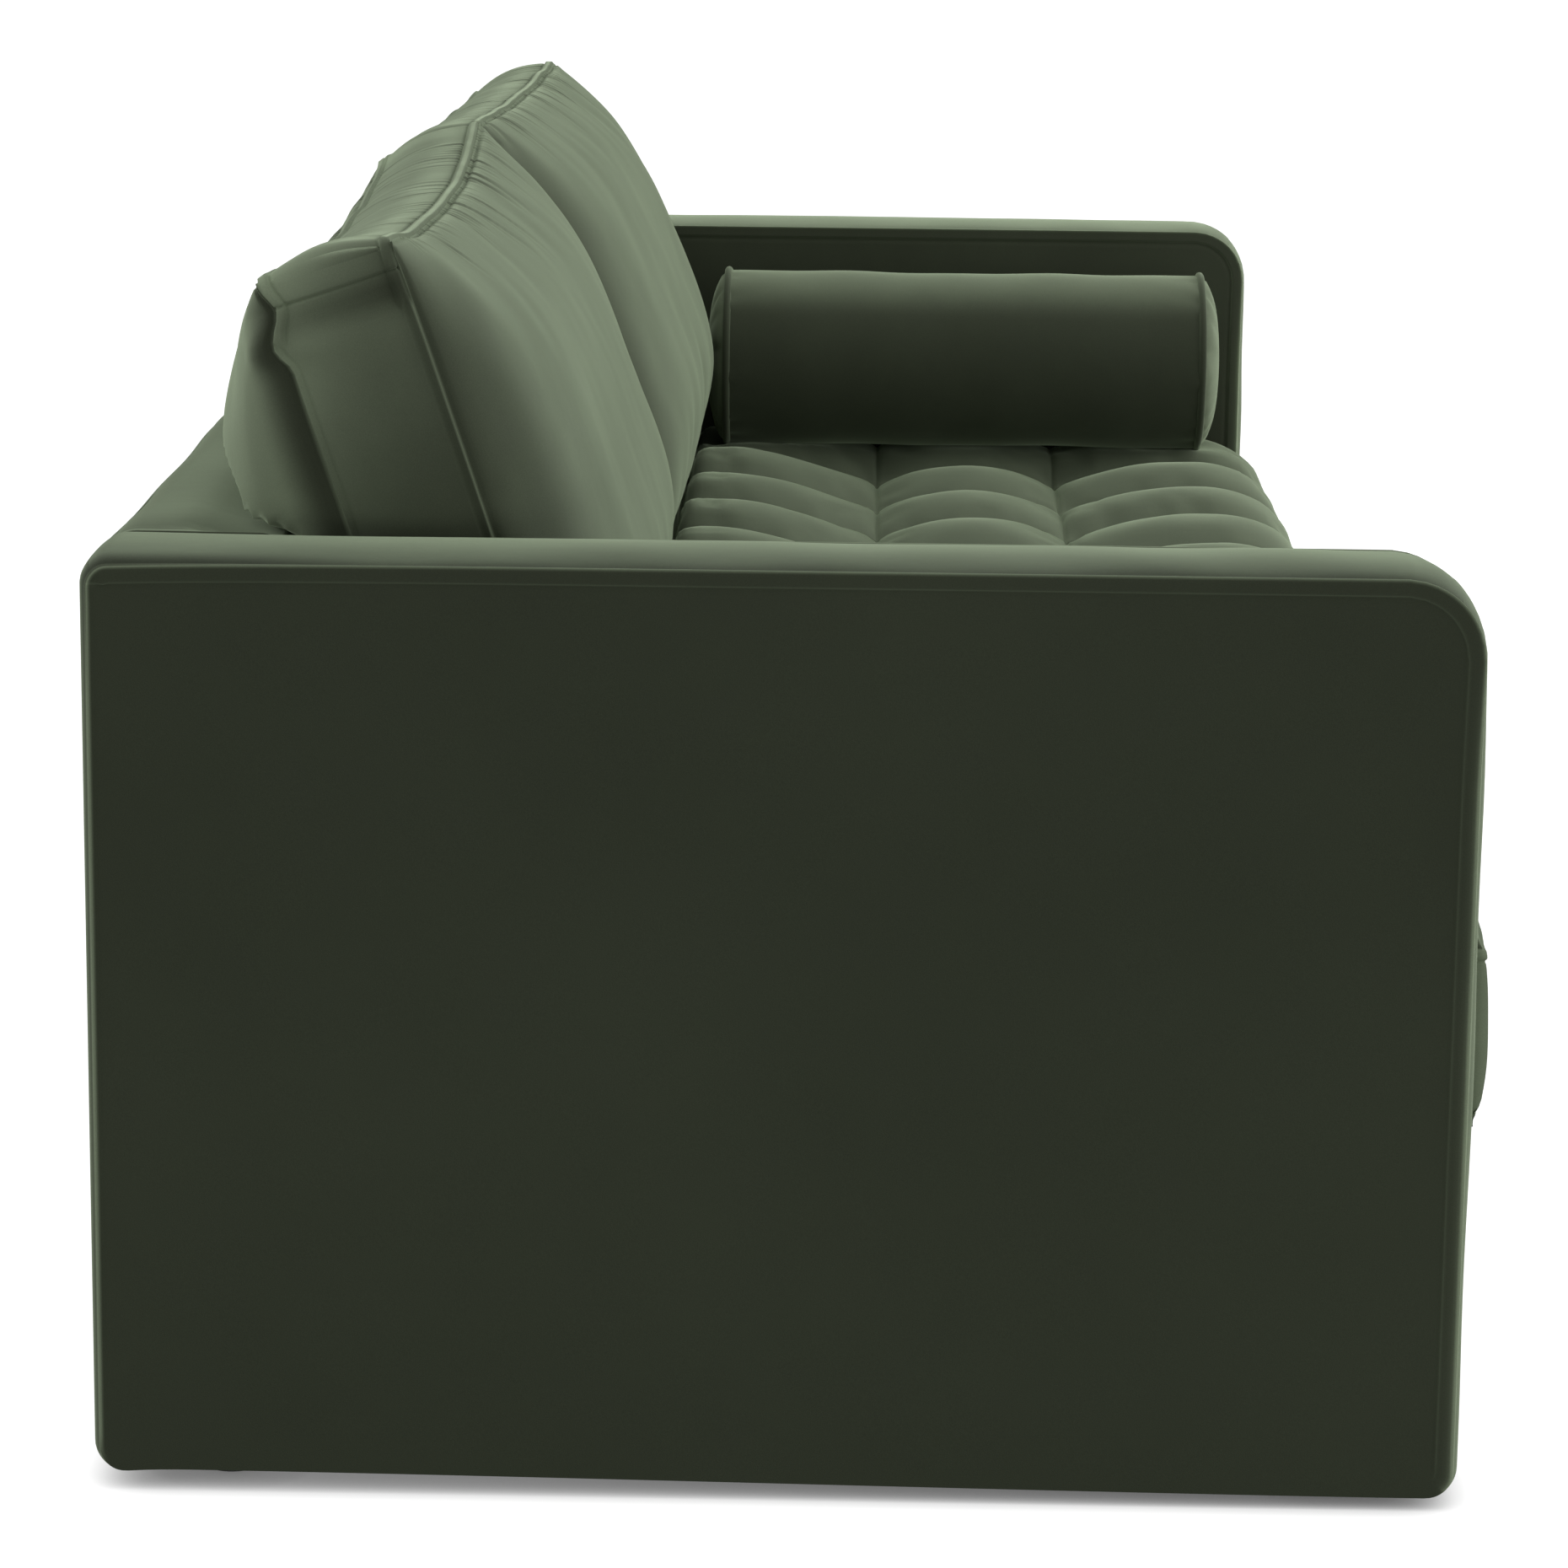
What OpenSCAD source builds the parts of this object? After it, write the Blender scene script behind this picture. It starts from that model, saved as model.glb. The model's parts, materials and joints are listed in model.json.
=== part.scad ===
// Tufted sofa bed. The seat pulls forward on runners and casters, and slides on a comb of slats.
// X runs across the sofa, the front faces -Y, Z is up and the floor is at 0.
// "Right" and "left" are the sitter's right (-X) and left (+X).

/* [Overall] */
// Width across both arms
sofa_w = 2420; // [2000:10:2700]
// Depth from the arm fronts to the back, without the seat cushion's overhang
sofa_d = 930; // [900:10:1050]
// Height of the arms and of the back
arm_h = 640; // [600:5:720]
// Height of the glides that hold the arms and the back off the floor
glide_h = 16; // [12:1:24]

/* [Arms] */
// Thickness of an arm
arm_t = 120; // [100:2:160]
// Radius of the front top corner of an arm
arm_front_r = 70; // [50:5:120]
// Radius of the rear top corner of an arm
arm_rear_r = 22; // [18:1:30]
// Radius of the bottom corners of an arm
arm_bottom_r = 18; // [10:1:24]
// Height of the crown across the padded band of an arm
arm_crown = 6; // [4:1:14]
// Rounding along the seams of an arm
arm_edge_r = 3; // [3:1:7]
// Thickness of the padded cover over the timber
pad_t = 14; // [10:1:20]

/* [Back] */
// Thickness of the upholstered back
back_t = 130; // [110:5:170]
// Radius of the top edges of the back
back_top_r = 24; // [12:1:36]

/* [Timber] */
// Width of the posts and top rails in the arms and the back
post_w = 45; // [35:1:60]
// Thickness of the boards of the sliding frame
board_t = 22; // [16:1:26]
// Thickness of the ledgers on the inner faces of the arms
ledger_t = 30; // [24:1:40]
// Thickness of the ledger on the back
rear_ledger_t = 22; // [18:1:30]
// Depth of the fixed beam that the slats slide over
beam_d = 40; // [30:1:60]
// Depth of the rear bar of the sliding frame
bar_d = 26; // [20:1:32]
// Depth of the batten that holds the casters
batten_d = 60; // [54:1:80]
// Height of the batten that holds the casters
batten_h = 32; // [24:1:40]

/* [Slatted deck] */
// Height of the top of the fixed slats
deck_z = 233; // [225:1:260]
// Width of a slat
slat_w = 62; // [45:1:80]
// Smallest gap between neighbouring slats
slat_gap = 8; // [5:1:15]
// Thickness of a fixed slat
slat_t = 17; // [14:1:19]
// Thickness of a sliding slat
slide_slat_t = 20; // [20:1:24]

/* [Runners] */
// Height of the outer member of a runner
runner_h = 53; // [45:1:56]
// Depth of a closed runner, side to side
runner_d = 19; // [16:1:22]
// Sheet thickness of the runners
runner_sheet_t = 2; // [1.5:0.25:2.5]
// Length by which the runner's members still overlap when fully out
runner_hold = 60; // [40:5:80]

/* [Casters and feet] */
// Radius of a caster wheel
wheel_r = 25; // [20:1:26]
// Width of a caster wheel
wheel_w = 18; // [14:1:24]
// Radius of a caster axle
axle_r = 4; // [3:0.5:5]
// Radius of a glide
glide_r = 20; // [15:1:25]
// Radius of a leg of the fixed beam
leg_r = 16; // [12:1:19]
// Height of the foot of a leg
foot_h = 8; // [5:1:15]

/* [Seat cushion] */
// How far the seat cushion stands out in front of the arms
seat_overhang = 23; // [10:1:40]
// Depth of the seat cushion that the seat carries forward
seat_d = 628; // [600:4:640]
// Height of the seat cushion's border, up to its top seam
seat_border_h = 127; // [100:1:140]
// Height of the crown of the tufted top above the seam
seat_crown = 50; // [36:1:56]
// Depth of the channels between the tufts
channel_depth = 22; // [10:1:26]
// Further depth at the tufts themselves
tuft_depth = 10; // [0:1:10]
// Width of one tufted square, side to side
tuft_pitch = 181; // [150:1:220]
// Distance from the cushion's front edge to the first row of tufts
front_row = 232; // [200:1:240]
// Distance between the two rows of tufts
tuft_row = 189; // [160:1:200]

/* [Back cushions] */
// Width of the border of a back cushion, front seam to rear seam
gusset_w = 96; // [70:1:110]
// Length of a back cushion from its bottom seam to its top seam
cushion_h = 416; // [380:2:480]
// Angle at which the back cushions lean back
lean = 20.6; // [14:0.2:24]
// Crown of the front of a back cushion
front_crown = 65; // [50:1:90]
// Crown of the rear of a back cushion
rear_crown = 88; // [40:1:95]
// How far the sides of a back cushion pull in between its corners
draw_in = 9; // [4:1:14]

/* [Bolsters] */
// Radius of a bolster
bolster_r = 93.5; // [80:0.5:95]
// Length of a bolster between its two piped seams
bolster_l = 508; // [400:4:540]
// Depth of the domed end of a bolster
bolster_dome = 22; // [15:1:26]
// Radius of the piping on a bolster
piping_r = 3.5; // [2:0.5:5]

/* [Clearances] */
// Gap at rest between a soft piece and what carries it
soft_gap = 0.3; // [0.2:0.1:0.6]
// Gap between sliding faces
slide_gap = 0.5; // [0.3:0.1:0.6]
// Gap between the seat cushion and each arm
side_gap = 6; // [3:1:10]
// Radial gap between a caster wheel and its axle
axle_gap = 0.05; // [0.03:0.01:0.1]
// Radial gap round a bolt
bolt_gap = 0.3; // [0.2:0.1:0.5]

/* [Hidden] */

velvet = "#5d6654";
velvet_light = "#6f7865";
timber = "#c9a574";
hardwood = "#d8b98a";
steel = "#9aa0a3";
nylon = "#2b2c2b";
foam = "#e7e0cf";
wadding = "#efeeea";

// Main places, worked out from the driving sizes
arm_front_y = (seat_overhang - sofa_d) / 2;
arm_rear_y = arm_front_y + sofa_d;
seat_front_y = arm_front_y - seat_overhang;
back_face_y = arm_rear_y - back_t;
inner_x = sofa_w / 2 - arm_t;
timber_top_z = arm_h - pad_t - arm_crown;

// Cover of the front panel and the sliding frame behind it
panel_recess = 8;
panel_t = 20;
panel_bottom_z = 36;
panel_top_gap = 4;
panel_side_gap = 4;
panel_edge_r = 8;
board_front_y = arm_front_y + panel_recess + panel_t;
batten_front_y = board_front_y + board_t;
batten_rear_y = batten_front_y + batten_d;
beam_gap = 10;
beam_front_y = batten_rear_y + beam_gap;
beam_rear_y = beam_front_y + beam_d;
bar_gap = 4;
rear_ledger_y = back_face_y - rear_ledger_t;
bar_rear_y = rear_ledger_y - bar_gap;
bar_front_y = bar_rear_y - bar_d;
bumper_t = 8;
bumper_r = 12;
travel = bar_front_y - bumper_t - beam_rear_y;

// Heights of the deck and the frame under it
slat_bottom_z = deck_z - slat_t;
slide_top_z = deck_z - slide_gap;
slide_bottom_z = slide_top_z - slide_slat_t;
beam_top_z = slide_bottom_z - slide_gap;
caster_plate_t = 3;
caster_top_gap = 7;
frame_bottom_z = 2 * wheel_r + caster_plate_t + caster_top_gap;
ledger_bottom_z = frame_bottom_z + batten_h;
ledger_top_drop = 6;
ledger_top_z = beam_top_z - ledger_top_drop;
runner_top_z = ledger_top_z - runner_sheet_t;
runner_bottom_z = runner_top_z - runner_h;
beam_step_z = runner_bottom_z - 2 * slide_gap - board_t / 2;
bar_h = 46;

// Runners and sliding frame, side to side
ledger_x = inner_x - ledger_t;
rail_outer_x = ledger_x - runner_d;
rail_inner_x = rail_outer_x - board_t;
runner_len = travel + runner_hold;
runner_front_gap = 10;
runner_front_y = batten_front_y + runner_front_gap;

// Slats
slat_field = 2 * (rail_inner_x - slat_gap);
slide_count = floor((slat_field + slat_gap + slat_w) / (2 * (slat_w + slat_gap)));
slat_pitch = (slat_field - slat_w) / (slide_count - 1);

// Timber frames in the arms and the back
arm_bays = 4;
back_bay_w = 240;
back_bays = ceil((2 * inner_x - post_w) / back_bay_w);
apron_top_z = ledger_top_z;

// Bolts
bolt_r = 4;
bolt_head_r = 8;
bolt_head_h = 5;
bolt_bite = 36;
bolt_z = ledger_bottom_z + bolt_head_r + ledger_t / 2;
bolt_share = [0.26, 0.52, 0.78];
back_bolt_bite = 30;
back_bolt_high_z = arm_h - 4 * post_w;
counterbore = 6;
cut = 1;

// Casters
wheel_x_share = [-0.86, -0.3, 0.3, 0.86];
wheel_x = [for (s = wheel_x_share) s * rail_inner_x];
wheel_y = (batten_front_y + batten_rear_y) / 2;
wheel_z = wheel_r;
ear_t = 3;
wheel_side_gap = 1;
bracket_l = 50;
ear_r = 12;
rivet_h = 2;
rivet_r = 6;
tread_r = 2;

// Legs and glides
leg_share = [-0.5, 0, 0.5];
foot_rim = 3;
glide_end_gap = 90;
back_glide_share = [-0.5, 0.5];

// Seat cushion
seat_base_z = deck_z + soft_gap;
seat_seam_z = seat_base_z + seat_border_h;
seat_w = 2 * (inner_x - side_gap);
seat_rear_y = seat_front_y + seat_d;
seat_bulge = 6;
seat_side_bulge = 2;
seat_bottom_draw = 4;
front_round = 95;
rear_round = 30;
side_round = 60;
tuft_columns = round(seat_w / tuft_pitch);
column_steps = 4;
groove_power = 1.6;
front_row_shares = [0, 0.08, 0.25, 0.5, 0.78];
tuft_row_shares = [0, 0.2, 0.4, 0.6, 0.8];
rear_row_shares = [0, 0.22, 0.5, 0.74, 0.91];
border_shares = [0.68, 0.3, 0];
border_bulge_shares = [0.85, 1, 0];
foam_side_gap = 45;
foam_bottom_gap = 18;
foam_top_gap = 12;

// Fixed pad under the back cushions
pad_gap = 5;
pad_front_y = seat_rear_y + pad_gap;
pad_rear_gap = 0.5;
pad_top_z = seat_base_z + seat_border_h + seat_crown + pad_gap;
pad_edge_r = 16;

// Back cushions
cushion_gap = 5;
gusset_bulge = 9;
cushion_half_w = (inner_x - 1.5 * cushion_gap) / 2 - gusset_bulge;
cushion_mid_x = inner_x - cushion_gap - gusset_bulge - cushion_half_w;
cushion_floor_z = pad_top_z + soft_gap;
cushion_lift = 5;
cushion_set = 150;
cushion_base_y = back_face_y - cushion_set;
cushion_base_z = cushion_floor_z + cushion_lift;
top_dip = 14;
across_steps = 20;
upward_steps = 14;
gusset_shares = [0.3, 0.7];
rim_share = 0.999;
across_power = 5;
upward_power = 2.9;
fullness_power = 0.6;
back_rest_gap = 0.6;
over_back = 90;
filling_t = 56;
filling_side_gap = 90;
filling_end_gap = 60;

// Bolsters
bolster_arm_gap = 8;
ring_r = bolster_r + piping_r;
bolster_x = inner_x - bolster_arm_gap - ring_r;
bolster_set = 83;
bolster_rear_y = cushion_base_y - bolster_set;
bolster_core_r = 60;
bolster_core_gap = 25;

round_fn = 48;
arc_steps = 8;
small_arc_steps = 4;

// Unit vector of the lean, pointing up along a back cushion
lean_sin = sin(lean);
lean_cos = cos(lean);

// One quarter turn of an outline from angle a0, about the point c
function arc(c, r, a0, n) = [for (i = [0:n]) c + r * [cos(a0 + 90 * i / n), sin(a0 + 90 * i / n)]];

// Side outline of an arm, pulled in by d at the front, top and rear, as [y, z] points
function arm_outline(d) = concat(
    arc([arm_front_y + d + arm_bottom_r, glide_h + arm_bottom_r], arm_bottom_r, 180,
        small_arc_steps),
    arc([arm_rear_y - d - arm_bottom_r, glide_h + arm_bottom_r], arm_bottom_r, 270,
        small_arc_steps),
    arc([arm_rear_y - arm_rear_r, arm_h - arm_rear_r], arm_rear_r - d, 0, small_arc_steps),
    arc([arm_front_y + arm_front_r, arm_h - arm_front_r], arm_front_r - d, 90, arc_steps));

// Outline of the timber inside an arm, from the height z0 up, as [y, z] points
function timber_outline(z0) = let (d = pad_t + arm_crown) concat(
    [[arm_front_y + d, z0], [arm_rear_y - d, z0]],
    arc([arm_rear_y - d - cut, arm_h - d - cut], cut, 0, small_arc_steps),
    arc([arm_front_y + arm_front_r, arm_h - arm_front_r], arm_front_r - d, 90, arc_steps));

// How far the arm's outline is pulled in at the depth x below its outer face
function arm_inset(x) = arm_crown * pow(2 * x / arm_t - 1, 2)
    + arm_edge_r * pow(max(1 - min(x, arm_t - x) / arm_edge_r, 0), 2);

band_shares = [0.2, 0.5, 0.8];
edge_share = 0.35;
arm_ring_depths = concat([0, edge_share * arm_edge_r, arm_edge_r],
    [for (s = band_shares) s * arm_t],
    [arm_t - arm_edge_r, arm_t - edge_share * arm_edge_r, arm_t]);

// Triangles between two neighbouring rings of n points, the first one starting at point a
function ring_faces(a, b, n) = [for (i = [0:n - 1]) let (k = (i + 1) % n)
    each [[a + i, a + k, b + i], [a + k, b + k, b + i]]];

// Solid through a list of rings, each of the same number of points
module loft(rings) {
    n = len(rings[0]);
    last = (len(rings) - 1) * n;
    polyhedron(
        points = [for (ring = rings) each ring],
        faces = concat(
            [[for (i = [n - 1:-1:0]) i]],
            [for (k = [0:len(rings) - 2]) each ring_faces(k * n, k * n + n, n)],
            [[for (i = [0:n - 1]) last + i]]),
        convexity = 6);
}

module on_both_sides() {
    children();
    mirror([1, 0, 0]) children();
}

// Box from its lowest corner to its highest corner
module block(low, high) {
    translate(low) cube(high - low);
}

// Rod along X from x0 to x1
module rod_x(x0, x1, r, y, z) {
    translate([x0, y, z]) rotate([0, 90, 0]) cylinder(h = x1 - x0, r = r, $fn = round_fn);
}

// The [y, z] outline, extruded along X from x0 to x1
module extrude_x(x0, x1) {
    translate([x0, 0, 0]) rotate([90, 0, 90]) linear_extrude(x1 - x0) children();
}

// Rounded rectangle in [y, z] with true arcs at its corners
module rounded(low, high, r) {
    translate([low[0] + r, low[1]]) square([high[0] - low[0] - 2 * r, high[1] - low[1]]);
    translate([low[0], low[1] + r]) square([high[0] - low[0], high[1] - low[1] - 2 * r]);
    for (y = [low[0] + r, high[0] - r], z = [low[1] + r, high[1] - r])
        translate([y, z]) circle(r = r, $fn = round_fn);
}

// Arms: drawn for the +X side, the other side is mirrored
timber_x0 = inner_x + pad_t;
timber_x1 = inner_x + arm_t - pad_t;
back_bolt_y = arm_rear_y - pad_t - arm_crown - post_w / 2;
ledger_bolt_ys = [for (s = bolt_share) beam_rear_y + s * (rear_ledger_y - beam_rear_y)];
back_bolt_zs = [bolt_z, back_bolt_high_z];

module ledger_bolt_holes() {
    for (y = ledger_bolt_ys)
        rod_x(ledger_x - cut, inner_x + pad_t + bolt_bite + cut, bolt_r + bolt_gap, y, bolt_z);
}

module back_bolt_holes() {
    for (z = back_bolt_zs) {
        rod_x(inner_x - pad_t - back_bolt_bite - cut, timber_x1 + cut, bolt_r + bolt_gap,
            back_bolt_y, z);
        rod_x(timber_x1 - counterbore, timber_x1 + cut, bolt_head_r + bolt_gap, back_bolt_y, z);
    }
}

module arm_frame() {
    window_y0 = arm_front_y + pad_t + arm_crown + post_w;
    window_y1 = arm_rear_y - pad_t - arm_crown - post_w;
    bay = (window_y1 - window_y0 + post_w) / arm_bays;
    difference() {
        extrude_x(timber_x0, timber_x1) polygon(timber_outline(glide_h));
        for (i = [0:arm_bays - 1]) {
            corner = i == 0 ? arm_front_r / 2 : 0;
            block([timber_x0 - cut, window_y0 + i * bay, apron_top_z],
                [timber_x1 + cut, window_y0 + (i + 1) * bay - post_w,
                    timber_top_z - post_w - corner]);
        }
        ledger_bolt_holes();
        back_bolt_holes();
    }
}

module arm_cover() {
    difference() {
        loft([for (x = arm_ring_depths)
            [for (p = arm_outline(arm_inset(x))) [inner_x + arm_t - x, p[0], p[1]]]]);
        extrude_x(timber_x0, timber_x1) polygon(timber_outline(glide_h - cut));
        ledger_bolt_holes();
        back_bolt_holes();
    }
}

module right_arm_frame() { color(timber) mirror([1, 0, 0]) arm_frame(); }
module left_arm_frame() { color(timber) arm_frame(); }
module right_arm_cover() { color(velvet) mirror([1, 0, 0]) arm_cover(); }
module left_arm_cover() { color(velvet) arm_cover(); }

// Back
module back_frame() {
    x1 = inner_x - pad_t;
    bay = (2 * x1 - post_w) / back_bays;
    y0 = back_face_y + pad_t;
    y1 = arm_rear_y - pad_t;
    color(timber) difference() {
        block([-x1, y0, glide_h], [x1, y1, arm_h - pad_t]);
        for (i = [0:back_bays - 1])
            block([-x1 + post_w + i * bay, y0 - cut, apron_top_z],
                [-x1 + (i + 1) * bay, y1 + cut, arm_h - pad_t - post_w]);
        on_both_sides() back_bolt_holes();
    }
}

// Side outline of the back, larger by g at the front, top and rear
module back_outline(g) {
    r = back_top_r + g;
    translate([back_face_y - g, glide_h]) square([back_t + 2 * g, arm_h - back_top_r - glide_h]);
    translate([back_face_y + back_top_r, arm_h - back_top_r])
        square([back_t - 2 * back_top_r, r]);
    for (y = [back_face_y + back_top_r, arm_rear_y - back_top_r])
        translate([y, arm_h - back_top_r]) circle(r = r, $fn = round_fn);
}

module back_cover() {
    x1 = inner_x - pad_t;
    color(velvet) difference() {
        extrude_x(-inner_x, inner_x) back_outline(0);
        block([-x1, back_face_y + pad_t, glide_h - cut],
            [x1, arm_rear_y - pad_t, arm_h - pad_t]);
        on_both_sides() back_bolt_holes();
    }
}

module glides() {
    arm_glide_x = inner_x + arm_t / 2;
    back_mid_y = (back_face_y + arm_rear_y) / 2;
    spots = concat(
        [for (x = [-arm_glide_x, arm_glide_x],
            y = [arm_front_y + glide_end_gap, arm_rear_y - glide_end_gap]) [x, y, 0]],
        [for (s = back_glide_share) [s * inner_x, back_mid_y, 0]]);
    color(nylon) for (spot = spots)
        translate(spot) cylinder(h = glide_h, r = glide_r, $fn = round_fn);
}

module side_ledgers() {
    color(timber) on_both_sides() difference() {
        block([ledger_x, batten_front_y, ledger_bottom_z], [inner_x, rear_ledger_y, ledger_top_z]);
        ledger_bolt_holes();
    }
}

module rear_ledger() {
    color(timber) block([-ledger_x, rear_ledger_y, beam_step_z],
        [ledger_x, back_face_y, slat_bottom_z]);
}

// Fixed beam: full width below the runners, narrower above, where the slats slide over it
beam_end_gap = 7;

module cross_beam() {
    upper_x = rail_inner_x - beam_end_gap;
    color(timber) {
        block([-ledger_x, beam_front_y, ledger_bottom_z], [ledger_x, beam_rear_y, beam_step_z]);
        block([-upper_x, beam_front_y, beam_step_z], [upper_x, beam_rear_y, beam_top_z]);
    }
}

bracket_leg = 36;
bracket_t = 3;
bracket_drop = 3;

module beam_brackets() {
    color(steel) on_both_sides() {
        block([ledger_x - bracket_leg, beam_rear_y, ledger_bottom_z + bracket_drop],
            [ledger_x, beam_rear_y + bracket_t, beam_step_z - bracket_drop]);
        block([ledger_x - bracket_t, beam_rear_y + bracket_t, ledger_bottom_z + bracket_drop],
            [ledger_x, beam_rear_y + bracket_leg, beam_step_z - bracket_drop]);
    }
}

leg_spots = [for (s = leg_share) [s * ledger_x, (beam_front_y + beam_rear_y) / 2, 0]];

module beam_legs() {
    color(steel) for (spot = leg_spots)
        translate(spot + [0, 0, foot_h])
            cylinder(h = ledger_bottom_z - foot_h, r = leg_r, $fn = round_fn);
}

module leg_feet() {
    color(nylon) for (spot = leg_spots)
        translate(spot) cylinder(h = foot_h, r = leg_r + foot_rim, $fn = round_fn);
}

// Slats: the sliding ones lie between the fixed ones, like the teeth of two combs
function slide_slat_x(i) = -slat_field / 2 + slat_w / 2 + i * slat_pitch;
fixed_slat_xs = [for (i = [0:slide_count - 2]) (slide_slat_x(i) + slide_slat_x(i + 1)) / 2];

module fixed_slats() {
    color(hardwood) for (x = fixed_slat_xs)
        block([x - slat_w / 2, beam_front_y, slat_bottom_z],
            [x + slat_w / 2, back_face_y, deck_z]);
}

slat_pad_margin = 4;

module slat_pads() {
    color(nylon) for (x = fixed_slat_xs)
        block([x - slat_w / 2 + slat_pad_margin, beam_front_y + slat_pad_margin, beam_top_z],
            [x + slat_w / 2 - slat_pad_margin, beam_rear_y - slat_pad_margin, slat_bottom_z]);
}

module ledger_bolts() {
    color(steel) on_both_sides() for (y = ledger_bolt_ys) {
        rod_x(ledger_x - bolt_head_h, ledger_x, bolt_head_r, y, bolt_z);
        rod_x(ledger_x, inner_x + pad_t + bolt_bite, bolt_r, y, bolt_z);
    }
}

module back_bolts() {
    color(steel) on_both_sides() for (z = back_bolt_zs) {
        rod_x(timber_x1 - counterbore, timber_x1 - counterbore + bolt_head_h, bolt_head_r,
            back_bolt_y, z);
        rod_x(inner_x - pad_t - back_bolt_bite, timber_x1 - counterbore, bolt_r, back_bolt_y, z);
    }
}

// Runners: three nested channels on each side
module channel(x_web, x_lip, z0, z1) {
    inward = x_lip < x_web ? -1 : 1;
    web_low = min(x_web, x_web + inward * runner_sheet_t);
    y1 = runner_front_y + runner_len;
    block([web_low, runner_front_y, z0], [web_low + runner_sheet_t, y1, z1]);
    block([min(x_web, x_lip), runner_front_y, z0],
        [max(x_web, x_lip), y1, z0 + runner_sheet_t]);
    block([min(x_web, x_lip), runner_front_y, z1 - runner_sheet_t],
        [max(x_web, x_lip), y1, z1]);
}

runner_lip_x = rail_outer_x + runner_sheet_t;
nest = runner_sheet_t + slide_gap;

module outer_runners() {
    color(steel) on_both_sides()
        channel(ledger_x, runner_lip_x, runner_bottom_z, runner_top_z);
}

module middle_runners() {
    color(steel) on_both_sides()
        channel(ledger_x - nest, runner_lip_x, runner_bottom_z + nest, runner_top_z - nest);
}

module inner_runners() {
    color(steel) on_both_sides()
        channel(rail_outer_x, ledger_x - 2 * nest, runner_bottom_z + 2 * nest,
            runner_top_z - 2 * nest);
}

// Sliding frame
module sliding_side_rails() {
    color(timber) on_both_sides()
        block([rail_inner_x, batten_front_y, runner_bottom_z],
            [rail_outer_x, bar_rear_y, slide_bottom_z]);
}

module sliding_rear_bar() {
    color(timber) block([-rail_inner_x, bar_front_y, slide_bottom_z - bar_h],
        [rail_inner_x, bar_rear_y, slide_bottom_z]);
}

module stop_bumpers() {
    color(nylon) for (spot = leg_spots)
        translate([spot[0], bar_front_y, slide_bottom_z - bar_h / 2]) rotate([90, 0, 0])
            cylinder(h = bumper_t, r = bumper_r, $fn = round_fn);
}

module sliding_slats() {
    color(hardwood) for (i = [0:slide_count - 1])
        block([slide_slat_x(i) - slat_w / 2, board_front_y, slide_bottom_z],
            [slide_slat_x(i) + slat_w / 2, bar_rear_y, slide_top_z]);
}

module front_rail() {
    color(timber) {
        block([-rail_outer_x, board_front_y, frame_bottom_z],
            [rail_outer_x, batten_front_y, slide_bottom_z]);
        block([-rail_inner_x, batten_front_y, frame_bottom_z],
            [rail_inner_x, batten_rear_y, frame_bottom_z + batten_h]);
    }
}

module front_panel_cover() {
    panel_x = inner_x - panel_side_gap;
    color(velvet) extrude_x(-panel_x, panel_x)
        rounded([arm_front_y + panel_recess, panel_bottom_z],
            [board_front_y, seat_base_z - panel_top_gap], panel_edge_r);
}

// Casters
ear_in_x = wheel_w / 2 + wheel_side_gap;

module caster_brackets() {
    color(steel) for (x = wheel_x) translate([x, wheel_y, 0]) difference() {
        union() {
            block([-ear_in_x - ear_t, -bracket_l / 2, frame_bottom_z - caster_plate_t],
                [ear_in_x + ear_t, bracket_l / 2, frame_bottom_z]);
            for (side = [-1, 1]) {
                ear_x = side > 0 ? ear_in_x : -ear_in_x - ear_t;
                block([ear_x, -ear_r, wheel_z],
                    [ear_x + ear_t, ear_r, frame_bottom_z - caster_plate_t]);
                rod_x(ear_x, ear_x + ear_t, ear_r, 0, wheel_z);
            }
        }
        rod_x(-ear_in_x - ear_t - cut, ear_in_x + ear_t + cut, axle_r + axle_gap, 0, wheel_z);
    }
}

module caster_axles() {
    end_x = ear_in_x + ear_t;
    color(steel) for (x = wheel_x) translate([x, wheel_y, 0]) {
        rod_x(-end_x, end_x, axle_r, 0, wheel_z);
        rod_x(-end_x - rivet_h, -end_x, rivet_r, 0, wheel_z);
        rod_x(end_x, end_x + rivet_h, rivet_r, 0, wheel_z);
    }
}

module caster_wheel(i) {
    color(nylon) translate([wheel_x[i], wheel_y, wheel_z]) rotate([0, 90, 0])
        rotate_extrude($fn = round_fn) polygon([
            [axle_r + axle_gap, -wheel_w / 2], [wheel_r - tread_r, -wheel_w / 2],
            [wheel_r, -wheel_w / 2 + tread_r], [wheel_r, wheel_w / 2 - tread_r],
            [wheel_r - tread_r, wheel_w / 2], [axle_r + axle_gap, wheel_w / 2]]);
}

module caster_wheel_1() { caster_wheel(0); }
module caster_wheel_2() { caster_wheel(1); }
module caster_wheel_3() { caster_wheel(2); }
module caster_wheel_4() { caster_wheel(3); }

// Seat cushion: a grid of crowned squares over a bulging border
function groove(d) = pow(1 - sin(90 * min(abs(d), 1)), groove_power);
function rise(t) = sqrt(1 - pow(1 - min(max(t, 0), 1), 2));

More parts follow.
